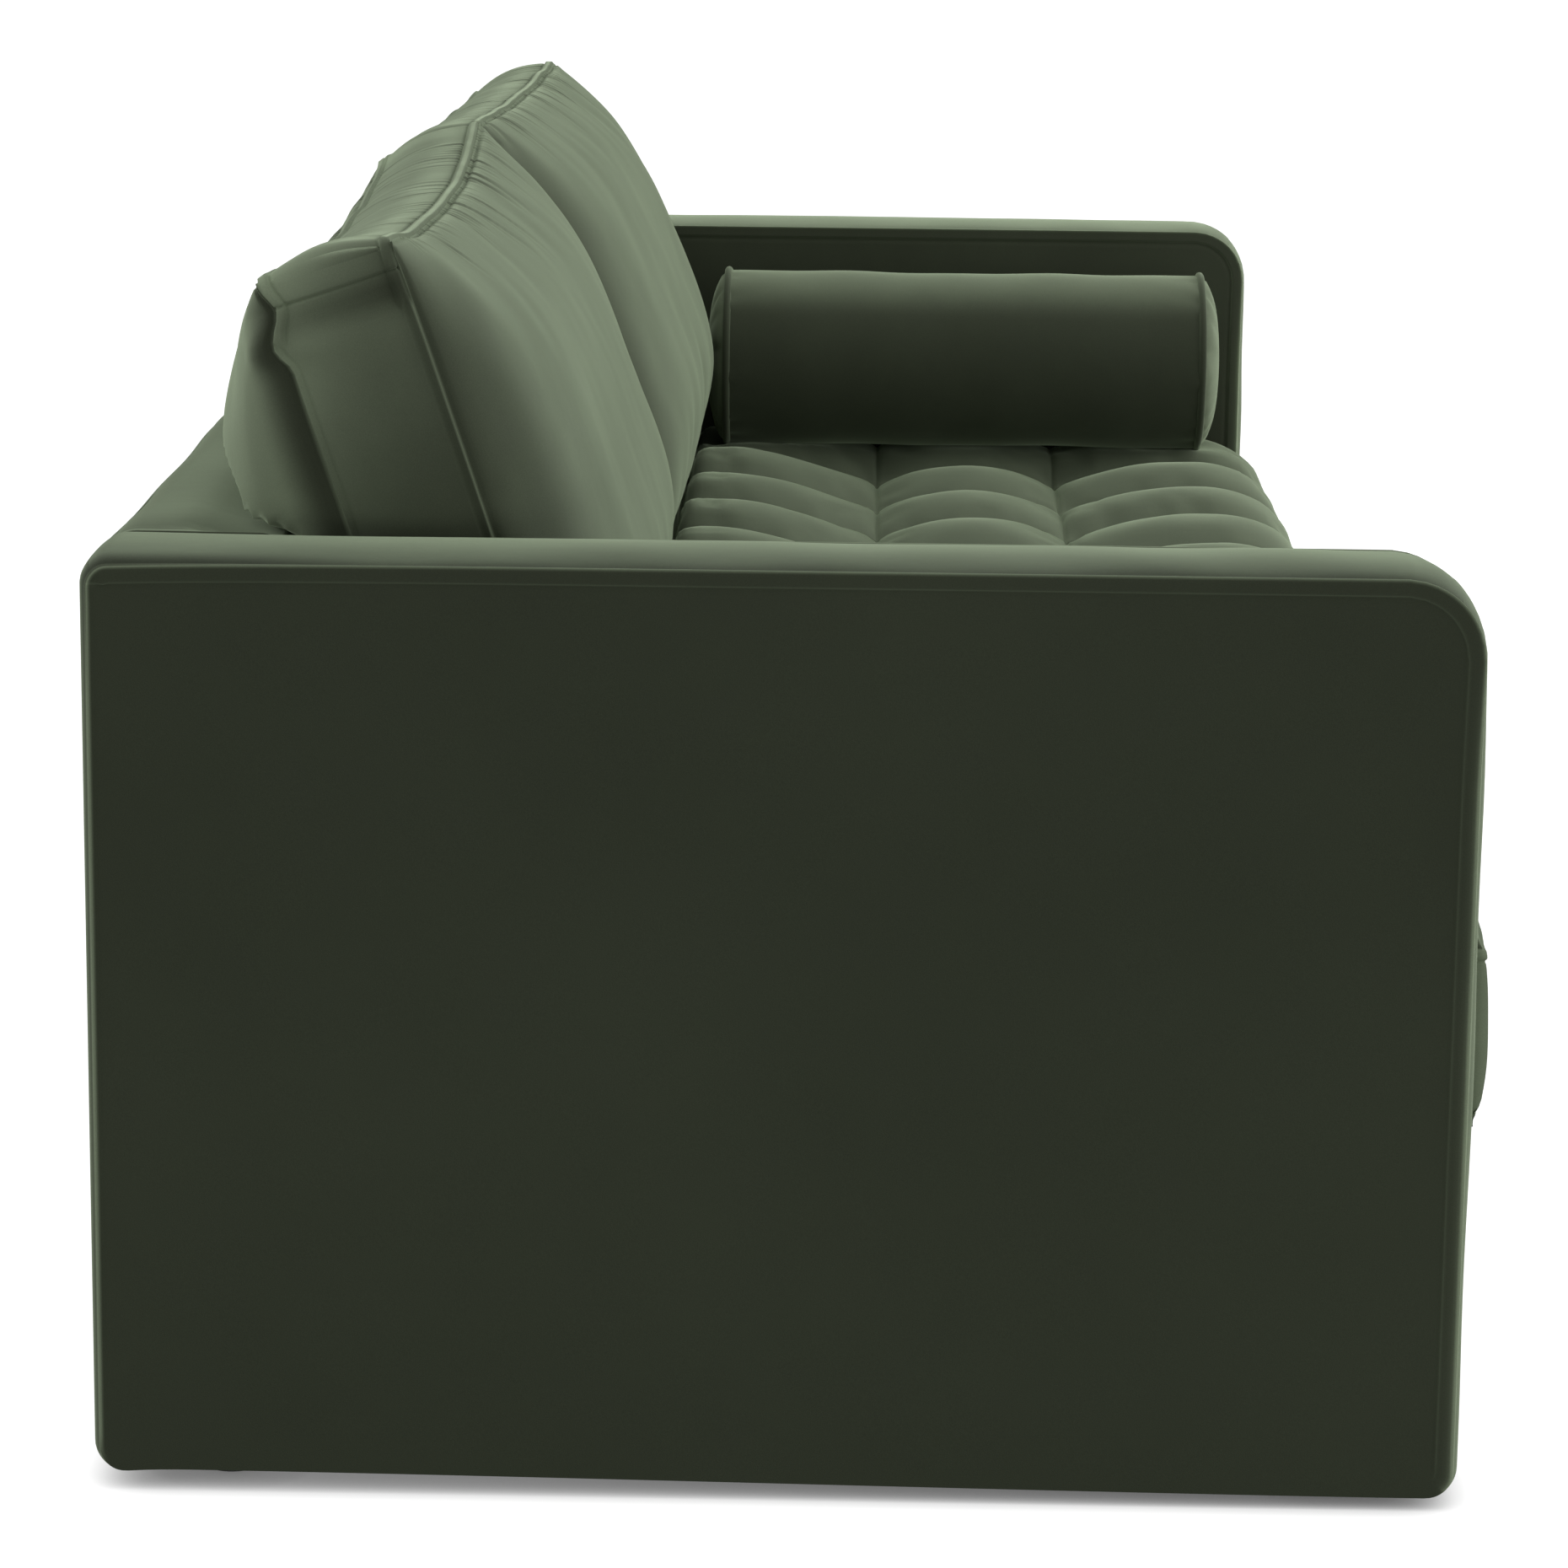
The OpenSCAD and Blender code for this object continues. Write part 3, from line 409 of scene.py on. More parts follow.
def curve_weights(count, at):
    """Weights that carry values at even places to the places at, along a smooth curve."""
    x = (np.clip(at, -1.0, 1.0) + 1.0) / 2.0 * count
    i = np.clip(np.floor(x).astype(int), 0, count - 1)
    t = x - i
    terms = (
        -0.5 * t + t ** 2 - 0.5 * t ** 3, 1.0 - 2.5 * t ** 2 + 1.5 * t ** 3,
        0.5 * t + 2.0 * t ** 2 - 1.5 * t ** 3, -0.5 * t ** 2 + 0.5 * t ** 3)
    weights = np.zeros((len(at), count + 1))
    for k, term in enumerate(terms):
        np.add.at(weights, (np.arange(len(at)), np.clip(i + k - 1, 0, count)), term)
    return weights


def blown_up(surface, spans, step, held, fine, cap, growth, smooth=0):
    """How far each point of the fine skin moves when the cushion's cloth is blown up.

    The cloth is a coarse skin of the same surface. held tells which of its places are sewn down,
    growth how much wider it is cut than the surface, and smooth how often its folds are evened out.
    """
    coarse = Skin(*[even(span, step) for span in spans])
    rest = surface(coarse.places)
    quads = turned_out(rest, coarse.quads)
    mesh = bpy.data.meshes.new("cloth_pattern")
    mesh.from_pydata(rest.tolist(), [], quads.tolist())
    piece = bpy.data.objects.new("cloth_pattern", mesh)
    scene = bpy.context.scene
    scene.collection.objects.link(piece)
    sewn = piece.vertex_groups.new(name="sewn")
    sewn.add(np.flatnonzero(held(coarse.places)).tolist(), 1.0, "REPLACE")
    cloth = piece.modifiers.new("Cloth", "CLOTH")
    cloth.settings.quality = 5
    cloth.settings.mass = 0.25
    cloth.settings.tension_stiffness = cloth.settings.compression_stiffness = 18.0
    cloth.settings.shear_stiffness = 8.0
    cloth.settings.bending_stiffness = 0.12
    cloth.settings.use_pressure = True
    cloth.settings.uniform_pressure_force = 3.0
    cloth.settings.shrink_min = -growth
    cloth.settings.vertex_group_mass = sewn.name
    cloth.settings.effector_weights.gravity = 0.0
    cloth.collision_settings.use_collision = False
    frames = 20
    cloth.point_cache.frame_start = 1
    cloth.point_cache.frame_end = frames
    for number in range(1, frames + 1):
        scene.frame_set(number)
    result = piece.evaluated_get(bpy.context.evaluated_depsgraph_get()).to_mesh()
    points = np.empty(len(rest) * 3, np.float32)
    result.vertices.foreach_get("co", points)
    bpy.data.objects.remove(piece)
    bpy.data.meshes.remove(mesh)
    scene.frame_set(1)
    shift = points.reshape(-1, 3).astype(float) - rest
    far = np.linalg.norm(shift, axis=1, keepdims=True)
    shift *= cap * np.tanh(far / cap) / np.maximum(far, 1e-9)
    count = np.bincount(coarse.quads.ravel(), minlength=len(rest))[:, None]
    for _ in range(smooth):
        middle = shift[coarse.quads].mean(1)
        total = np.zeros_like(shift)
        for k in range(4):
            np.add.at(total, coarse.quads[:, k], middle)
        shift = total / count
    out = np.zeros((len(fine.places), 3))
    for k in range(3):
        u, v = (curve_weights(len(coarse.axes[j]) - 1, fine.axes[j]) for j in range(3) if j != k)
        for end in (0, -1):
            grid = shift[coarse.ids.take(end, axis=k)]
            out[fine.ids.take(end, axis=k)] = np.einsum("ai,ijc,bj->abc", u, grid, v)
    return out


def swept(path, radius):
    """Points and quads of a round cord along a closed path."""
    sides = 10
    ahead = np.roll(path, -1, 0) - np.roll(path, 1, 0)
    ahead /= np.linalg.norm(ahead, axis=1, keepdims=True)
    middle = path - path.mean(0)
    aside = np.cross(ahead, middle)
    aside /= np.linalg.norm(aside, axis=1, keepdims=True)
    over = np.cross(aside, ahead)
    turn = np.arange(sides) * 2.0 * np.pi / sides
    points = (path[:, None] + radius * (
        np.cos(turn)[None, :, None] * over[:, None] + np.sin(turn)[None, :, None] * aside[:, None]))
    ids = np.arange(len(path) * sides).reshape(len(path), sides)
    quads = np.stack([ids, np.roll(ids, -1, 0), np.roll(np.roll(ids, -1, 0), -1, 1),
                      np.roll(ids, -1, 1)], -1).reshape(-1, 4)
    return points.reshape(-1, 3), quads


def make_piece(name, points, quads, body, instead_of=(), nap=None):
    """Makes a smooth velvet piece, hangs it on its body and says what it stands for.

    The last argument paints highlight and shade into the pile at each point: 1 a pale painted
    highlight, -1 dark painted shade.
    """
    quads = turned_out(points, quads)
    mesh = bpy.data.meshes.new(name)
    mesh.from_pydata(points.tolist(), [], quads.tolist())
    mesh.shade_smooth()
    mesh.materials.append(velvet())
    # Painted highlight and shade, kept on the points for the velvet's colour
    if nap is not None:
        painted_light_attribute = mesh.attributes.new("nap_lie", "FLOAT", "POINT")
        painted_light_attribute.data.foreach_set("value", np.clip(nap, -1.0, 1.0).astype(np.float32))
    piece = bpy.data.objects.new(name, mesh)
    bpy.context.scene.collection.objects.link(piece)
    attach(piece, body)
    if instead_of:
        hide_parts(*instead_of)


# Finishes


def place_node(tree, kind, inputs=None, **settings):
    """Adds a node, sets its own settings and fills or links its inputs."""
    node = tree.nodes.new(kind)
    for key, value in settings.items():
        setattr(node, key, value)
    for key, value in (inputs or {}).items():
        if isinstance(value, bpy.types.NodeSocket):
            tree.links.new(value, node.inputs[key])
        else:
            node.inputs[key].default_value = value
    return node


def maths(tree, operation, a, b):
    return place_node(tree, "ShaderNodeMath", {0: a, 1: b}, operation=operation).outputs[0]


def scaled(tree, colour_socket, factor):
    """A colour times a value."""
    return place_node(
        tree, "ShaderNodeVectorMath", {0: colour_socket, "Scale": factor},
        operation="SCALE").outputs[0]


def open_group(name, inputs, outputs):
    """An empty node group with the given sockets, and its input and output nodes."""
    tree = bpy.data.node_groups.new(name, "ShaderNodeTree")
    for label, kind in inputs.items():
        tree.interface.new_socket(name=label, in_out="INPUT", socket_type="NodeSocket" + kind)
    for label, kind in outputs.items():
        tree.interface.new_socket(name=label, in_out="OUTPUT", socket_type="NodeSocket" + kind)
    return tree, tree.nodes.new("NodeGroupInput").outputs, tree.nodes.new("NodeGroupOutput").inputs


def noise(tree, vector, scale, detail=3.0, roughness=0.55):
    return place_node(
        tree, "ShaderNodeTexNoise",
        {"Vector": vector, "Scale": scale, "Detail": detail, "Roughness": roughness}).outputs[0]


def spread(tree, value, low, high):
    """Takes a value between 0 and 1 to the range from low to high."""
    return place_node(tree, "ShaderNodeMapRange", {
        "Value": value, "From Min": 0.3, "From Max": 0.7, "To Min": low, "To Max": high}).outputs[0]


def pile_group():
    """Velvet pile: nap marks in the colour, a fine grain, shallow crush marks, and painted
    highlight and shade.
    """
    tree, given, out = open_group(
        "velvet_pile",
        {"Vector": "Vector", "Pile": "Color", "Nap": "Color", "Mottle": "Float", "Grain": "Float",
         "Lie": "Float"},
        {"Pile": "Color", "Nap": "Color", "Roughness": "Float", "Height": "Float"})
    broad = noise(tree, given["Vector"], 3.2, 4.0)
    marks = noise(tree, given["Vector"], 26.0, 4.0, 0.6)
    grain = noise(tree, given["Vector"], given["Grain"], 2.0)
    both = maths(tree, "ADD", spread(tree, broad, -0.5, 0.5), spread(tree, marks, -0.4, 0.4))
    mottled = maths(tree, "MULTIPLY", both, given["Mottle"])
    speckled = maths(tree, "MULTIPLY_ADD", spread(tree, grain, -1.0, 1.0), 0.10)
    tree.links.new(mottled, speckled.node.inputs[2])
    # Painted highlight and shade: the mask brightens or darkens the pile and mixes it towards the
    # painted sheen colour
    painted_brightness = maths(tree, "MULTIPLY_ADD", given["Lie"], 0.6)
    painted_brightness.node.inputs[2].default_value = 1.0
    factor = maths(tree, "ADD", speckled, painted_brightness)
    painted_pile = place_node(tree, "ShaderNodeMix", {
        "Factor": given["Lie"], 6: given["Pile"], 7: given["Nap"]}, data_type="RGBA")
    tree.links.new(scaled(tree, painted_pile.outputs[2], factor), out["Pile"])
    tree.links.new(scaled(tree, given["Nap"], factor), out["Nap"])
    tree.links.new(spread(tree, marks, 0.82, 0.95), out["Roughness"])
    soft = maths(tree, "MULTIPLY", marks, 1.4)
    tree.links.new(maths(tree, "ADD", soft, maths(tree, "MULTIPLY", grain, 0.35)), out["Height"])
    return tree


def wood_group():
    """Timber: rings drawn out along the board, pores and a planed surface."""
    tree, given, out = open_group(
        "timber_grain", {"Vector": "Vector", "Early": "Color", "Late": "Color", "Rings": "Float"},
        {"Color": "Color", "Roughness": "Float", "Height": "Float"})
    warp = noise(tree, given["Vector"], 2.0, 3.0)
    rings = place_node(tree, "ShaderNodeTexWave", {
        "Vector": given["Vector"], "Scale": given["Rings"], "Distortion": 5.0, "Detail": 3.0,
        "Detail Scale": 1.4}, wave_type="RINGS").outputs["Fac"]
    pores = noise(tree, given["Vector"], 60.0, 2.0)
    fine = maths(tree, "ADD", maths(tree, "MULTIPLY", rings, 0.6),
                 maths(tree, "MULTIPLY", pores, 0.4))
    mix = place_node(tree, "ShaderNodeMix", {
        "Factor": maths(tree, "MULTIPLY", fine, spread(tree, warp, 0.5, 1.0)),
        6: given["Early"], 7: given["Late"]}, data_type="RGBA")
    tree.links.new(mix.outputs[2], out["Color"])
    tree.links.new(spread(tree, pores, 0.45, 0.65), out["Roughness"])
    tree.links.new(fine, out["Height"])
    return tree


def wear_group():
    """Metal and mouldings: small changes of tone, fine scuffs and a light texture."""
    tree, given, out = open_group(
        "fine_scuffs", {"Vector": "Vector", "Base": "Color", "Rough": "Float", "Texture": "Float"},
        {"Color": "Color", "Roughness": "Float", "Height": "Float"})
    cloud = noise(tree, given["Vector"], 18.0, 5.0)
    scuff = noise(tree, given["Vector"], given["Texture"], 4.0, 0.7)
    tree.links.new(scaled(tree, given["Base"], spread(tree, cloud, 0.82, 1.15)), out["Color"])
    rough = maths(tree, "MULTIPLY", given["Rough"], spread(tree, scuff, 0.8, 1.25))
    tree.links.new(rough, out["Roughness"])
    tree.links.new(scuff, out["Height"])
    return tree


def open_finish(name, group, values, stretch=(1.0, 1.0, 1.0), bump=0.25, depth=0.0006):
    """A material whose colour, roughness and bump come from a group, in the piece's own space."""
    material = bpy.data.materials.new(name)
    material.use_nodes = True
    tree = material.node_tree
    shader = tree.nodes["Principled BSDF"]
    spot = place_node(tree, "ShaderNodeTexCoord").outputs["Object"]
    vector = place_node(tree, "ShaderNodeMapping", {"Vector": spot, "Scale": stretch}).outputs[0]
    effect = place_node(tree, "ShaderNodeGroup", node_tree=group)
    tree.links.new(vector, effect.inputs["Vector"])
    for key, value in values.items():
        effect.inputs[key].default_value = value
    rise = place_node(tree, "ShaderNodeBump", {
        "Strength": bump, "Distance": depth, "Height": effect.outputs["Height"]})
    tree.links.new(rise.outputs[0], shader.inputs["Normal"])
    tree.links.new(effect.outputs["Roughness"], shader.inputs["Roughness"])
    return material, tree, shader, effect


def velvet():
    """Cotton velvet: dark into the pile, with a painted sheen that pales it at grazing angles, and
    the shader's own sheen.
    """
    if "sage_velvet" in bpy.data.materials:
        return bpy.data.materials["sage_velvet"]
    s = bpy.context.scene.sofa_velvet
    material, tree, shader, effect = open_finish(
        "sage_velvet", pile_group(),
        {"Pile": s.pile, "Nap": s.nap, "Mottle": s.mottle, "Grain": s.grain}, depth=0.0008)
    painted_light_attribute = place_node(tree, "ShaderNodeAttribute", attribute_name="nap_lie")
    tree.links.new(painted_light_attribute.outputs["Fac"], effect.inputs["Lie"])
    # Painted sheen: the colour pales from the pile towards the painted sheen colour as the surface
    # turns away from the view
    facing = place_node(tree, "ShaderNodeLayerWeight", {"Blend": 0.36}).outputs["Facing"]
    facing = maths(tree, "POWER", facing, 1.6)
    mix = place_node(tree, "ShaderNodeMix", {
        "Factor": facing, 6: effect.outputs["Pile"], 7: effect.outputs["Nap"]}, data_type="RGBA")
    tree.links.new(mix.outputs[2], shader.inputs["Base Color"])
    shader.inputs["Sheen Weight"].default_value = s.sheen
    shader.inputs["Sheen Roughness"].default_value = s.sheen_roughness
    shader.inputs["Sheen Tint"].default_value = s.sheen_tint
    shader.inputs["Specular IOR Level"].default_value = 0.15
    return material


def plain_finish(name, group, values, metal=0.0, **settings):
    material, tree, shader, effect = open_finish(name, group, values, **settings)
    tree.links.new(effect.outputs["Color"], shader.inputs["Base Color"])
    shader.inputs["Metallic"].default_value = metal
    return material


# The pieces


def box_skin(node, *axes):
    """A node's box, a skin over it and its points; each axis has its two rims and its step."""
    low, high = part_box(node)
    skin = Skin(*[places(span, *axis) for span, axis in zip(high - low, axes)])
    return low, high, skin, np.array(low) + (skin.places + 1.0) / 2.0 * np.array(high - low)


def from_ends(skin, size):
    """Distances of a skin's points from its box: the nearer side, front, rear, foot and top."""
    size = np.array(size)
    near, far = (1.0 + skin.places) / 2.0 * size, (1.0 - skin.places) / 2.0 * size
    return np.minimum(near, far)[:, 0], near[:, 1], far[:, 1], near[:, 2], far[:, 2]


def rounded(points, box, radius, corners):
    """The points with corners of their box rounded in the YZ plane; 1 and -1 name its ends."""
    x, y, z = points.T
    for sign in corners:
        corner = (box[1 if sign[0] > 0 else 0].y, box[1 if sign[1] > 0 else 0].z)
        y, z = round_corner(y, z, corner, radius, sign)
    return np.stack([x, y, z], 1)


def arm_outline(fore, up, depth, box, s):
    """Takes the arm's block to its side outline, pulled in by depth, as y and z."""
    low, high = box
    y = low.y + depth + (fore + 1.0) / 2.0 * (high.y - low.y - 2.0 * depth)
    z = low.z + (up + 1.0) / 2.0 * (high.z - depth - low.z)
    y, z = round_corner(y, z, (low.y + depth, high.z - depth), s.front_radius - depth, (-1, 1))
    y, z = round_corner(y, z, (high.y - depth, high.z - depth), s.rear_radius - depth, (1, 1))
    y, z = round_corner(y, z, (low.y + depth, low.z), s.bottom_radius, (-1, -1))
    return round_corner(y, z, (high.y - depth, low.z), s.bottom_radius, (1, -1))


class SOFA_OT_arms(bpy.types.Operator):
    """Make the padded covers of both arms"""

    bl_idname = "sofa.make_arms"
    bl_label = "Arms"

    def execute(self, context):
        for number, (side, sign) in enumerate(SIDES.items()):
            self.make(context.scene.sofa_arm, side, sign, number)
        return {"FINISHED"}

    def make(self, s, side, sign, number):
        rim = (0.0, 0.0007, 0.0014, 0.0024, 0.0045, 0.0072, 0.0092, 0.0102, 0.0112, 0.0124,
               0.015, 0.019, 0.025, 0.033, 0.042, 0.053, 0.065, 0.078, 0.09)
        edge = (0.0, 0.0002, 0.0006, 0.0013, 0.0024, 0.004, 0.0062, 0.009, 0.0125, 0.017, 0.024,
                0.034)
        low, high, skin, points = box_skin(
            side + "_arm_cover", (edge, edge, 0.014), (rim, rim, 0.022), (rim, rim, 0.022))
        across, fore, up = skin.places.T
        size = high - low
        from_face, front, rear, foot, top = from_ends(skin, size)
        panel = at_end(across)
        stitch = 0.0010
        off_foot = smooth_step(0.0, 0.03, foot)
        # The ends of the band roll over more than its top
        end_start, front_reach, rear_reach = 0.16, 0.30, 0.085
        at_front = smooth_step(0.0, end_start, top) * smooth_step(front_reach, 0.0, front)
        at_rear = np.exp(-rear / rear_reach)
        roll_depth = s.top_roll + (s.front_roll - s.top_roll) * at_front
        roll_depth = roll_depth + (s.rear_roll - s.top_roll) * at_rear
        roll = 1.0 - ramp(from_face, s.roll_width)
        crown = s.crown * (1.0 - 0.5 * np.maximum(at_front, at_rear))
        depth = crown * across ** 2 + roll_depth * (1.0 - np.sqrt(1.0 - roll ** 2))
        depth = depth - s.lip * bell(from_face, 0.9 * stitch)
        points[:, 1], points[:, 2] = arm_outline(fore, up, depth, (low, high), s)
        # The flange runs along the top and the front, and the rear has a plain seam
        inner_groove, rear_groove, rear_groove_in = 0.0017, 0.0010, 0.0030
        from_seam = np.minimum(top, front)
        rise = s.flange_rise * ramp(from_seam, s.flange) ** 0.8 * (1.0 - smooth_step(
            s.flange - 0.0006, s.flange + 0.0008, from_seam))
        rise -= inner_groove * bell(from_seam, stitch, s.flange + 0.0008)
        rise *= smooth_step(0.002, 0.010, rear)
        edge_near = np.minimum(from_seam, rear)
        rise += s.lip * bell(edge_near, stitch)
        rise -= rear_groove * bell(rear, stitch, rear_groove_in) * smooth_step(0.0, 0.01, top)
        rise *= off_foot
        # Painted highlight along the folded edges at the seams, and a fainter one beside the
        # flange's inner seam
        painted_seam_highlight = bell(np.where(panel, edge_near, from_face), 1.3 * stitch)
        painted_seam_highlight = (painted_seam_highlight + 0.2 * bell(from_seam, stitch, s.flange) * panel) * off_foot
        # Slack in the panels, and less of it in the band
        rng = np.random.default_rng(11 + number)
        calm, low_calm, panel_wave, band_wave, waves = 0.05, 0.04, 0.22, 0.13, 9
        wave = swell(points * (0.3, 1.0, 1.0), panel_wave, waves, rng)
        rise += s.slack * wave * ramp(from_seam, calm) * ramp(rear, calm) * ramp(foot, low_calm)
        points[:, 0] += np.where(panel, rise * np.sign(across), 0.0)
        # The lower edge hangs towards the front, and a little at the rear corner
        hang = s.hang * (0.1 + 0.9 * smooth_step(0.0, 1.0, rear / size.y))
        hang = hang + 0.0022 * bell(rear, 0.03)
        points[:, 2] -= hang * (1.0 - smooth_step(0.0, 0.25, foot))
        points[:, 2] += s.lift * smooth_step(0.1, 0.0, top)
        if sign < 0:
            points[:, 1] += s.right_ease * smooth_step(0.25, 0.0, front)
        band = np.where(panel, 0.0, 1.0 - np.abs(across) ** 6)
        lift = 0.6 * s.slack * swell(points, band_wave, waves, rng) * band
        points[:, 2] += np.where(at_high(up), lift, 0.0)
        points[:, 1] += np.where(at_low(fore), lift, 0.0) * smooth_step(0.0, 0.1, foot)
        # Painted shade darkens the right arm's top towards its outer side, painted light pales the
        # left arm's top a little, and painted highlights pale the front's rolled edges
        on_top = smooth_step(0.10, 0.0, top) * ~panel
        painted_top_shade = smooth_step(0.2, -0.95, across) if sign < 0 else -0.4
        painted_highlight = at_front * (front < 0.08) * np.where(
            panel, np.exp(-front / 0.0022), np.exp(-from_face / 0.010))
        make_piece(
            side + "_arm_velvet", points, skin.quads, "sofa_frame",
            instead_of=[side + "_arm_cover"],
            nap=0.85 * painted_seam_highlight - 0.85 * painted_top_shade * on_top + 0.8 * painted_highlight)


class SOFA_OT_back(bpy.types.Operator):
    """Make the padded cover of the back"""

    bl_idname = "sofa.make_back"
    bl_label = "Back"

    def execute(self, context):
        s = context.scene.sofa_back
        rim = (0.0, 0.0008, 0.0016, 0.003, 0.0055, 0.008, 0.0092, 0.0102, 0.0114, 0.0135, 0.018,
               0.026, 0.04)
        turn = (0.0, 0.0015, 0.003, 0.005, 0.0075, 0.0105, 0.014, 0.0178, 0.021, 0.024)
        low, high, skin, points = box_skin(
            "back_cover", (rim, rim, 0.03), (turn, turn, 0.014), ((0.0, 0.006, 0.014), turn, 0.024))
        across, fore, up = skin.places.T
        from_arm = from_ends(skin, high - low)[0]
        points = rounded(points, (low, high), s.top_radius, ((-1, 1), (1, 1)))
        y, z = points[:, 1].copy(), points[:, 2].copy()
        out = outward_normals(points, skin.quads)
        rng = np.random.default_rng(21)
        rise = flange_rise(from_arm, s.flange, s.flange_rise) * smooth_step(0.0, 0.004, z - low.z)
        # The rear panel is sewn to the top along a seam below the rear edge
        seam_below, calm = 0.034, 0.05
        seam = flange_rise(np.abs(high.z - z - seam_below), s.flange, s.flange_rise)
        behind = at_high(fore) & ~at_high(up)
        rise += np.where(behind, seam * smooth_step(0.01, 0.014, from_arm), 0.0)
        rise += s.slack * swell(points, 0.26, 9, rng) * ramp(from_arm - 0.012, calm) * ramp(
            z - low.z, calm)
        points += out * (rise * ~at_end(across))[:, None]
        # The top is drawn down beside the arms, and the back cushions press in its front edge
        upper = smooth_step(0.06, 0.02, high.z - z)
        pressed = smooth_step(0.085, 0.035, y - low.y) * smooth_step(0.0, 0.03, from_arm)
        points[:, 2] -= s.end_dip * smooth_step(0.06, 0.0, from_arm) * upper
        points[:, 2] -= s.press * pressed * upper
        # It stays above the timber frame
        frame_below = 0.0126
        inner = (y > low.y + 0.012) & (z > high.z - 0.03)
        points[:, 2] = np.where(
            inner, np.maximum(points[:, 2], high.z - frame_below), points[:, 2])
        make_piece("back_velvet", points, skin.quads, "sofa_frame", instead_of=["back_cover"])
        return {"FINISHED"}


class SOFA_OT_front_panel(bpy.types.Operator):
    """Make the covered panel below the seat cushion"""

    bl_idname = "sofa.make_front_panel"
    bl_label = "Front panel"

    def execute(self, context):
        edge = (0.0, 0.001, 0.0022, 0.0038, 0.006, 0.008)
        rim = (0.0, 0.001, 0.0022, 0.0038, 0.006, 0.0085, 0.0095, 0.0105, 0.013, 0.02)
        edge_radius, flange, rise, puff, slack = 0.0079, 0.0098, 0.0018, 0.0016, 0.0010
        low, high, skin, points = box_skin(
            "front_panel_cover", (rim, rim, 0.03), (edge, edge, 0.004), (rim, rim, 0.02))
        from_side, _, _, _, top = from_ends(skin, high - low)
        points = rounded(points, (low, high), edge_radius, ((-1, 1), (-1, -1)))
        full = ramp(top, 0.05) * ramp(from_side, 0.05) * ramp(points[:, 2] - low.z, 0.04)
        wave = swell(points, 0.2, 9, np.random.default_rng(31))
        swollen = puff * full + slack * full * wave
        swollen += flange_rise(np.minimum(top, from_side), flange, rise)
        points[:, 1] -= np.where(at_low(skin.places[:, 1]), swollen, 0.0)
        make_piece("front_panel_velvet", points, skin.quads, "seat",
                   instead_of=["front_panel_cover"])
        return {"FINISHED"}


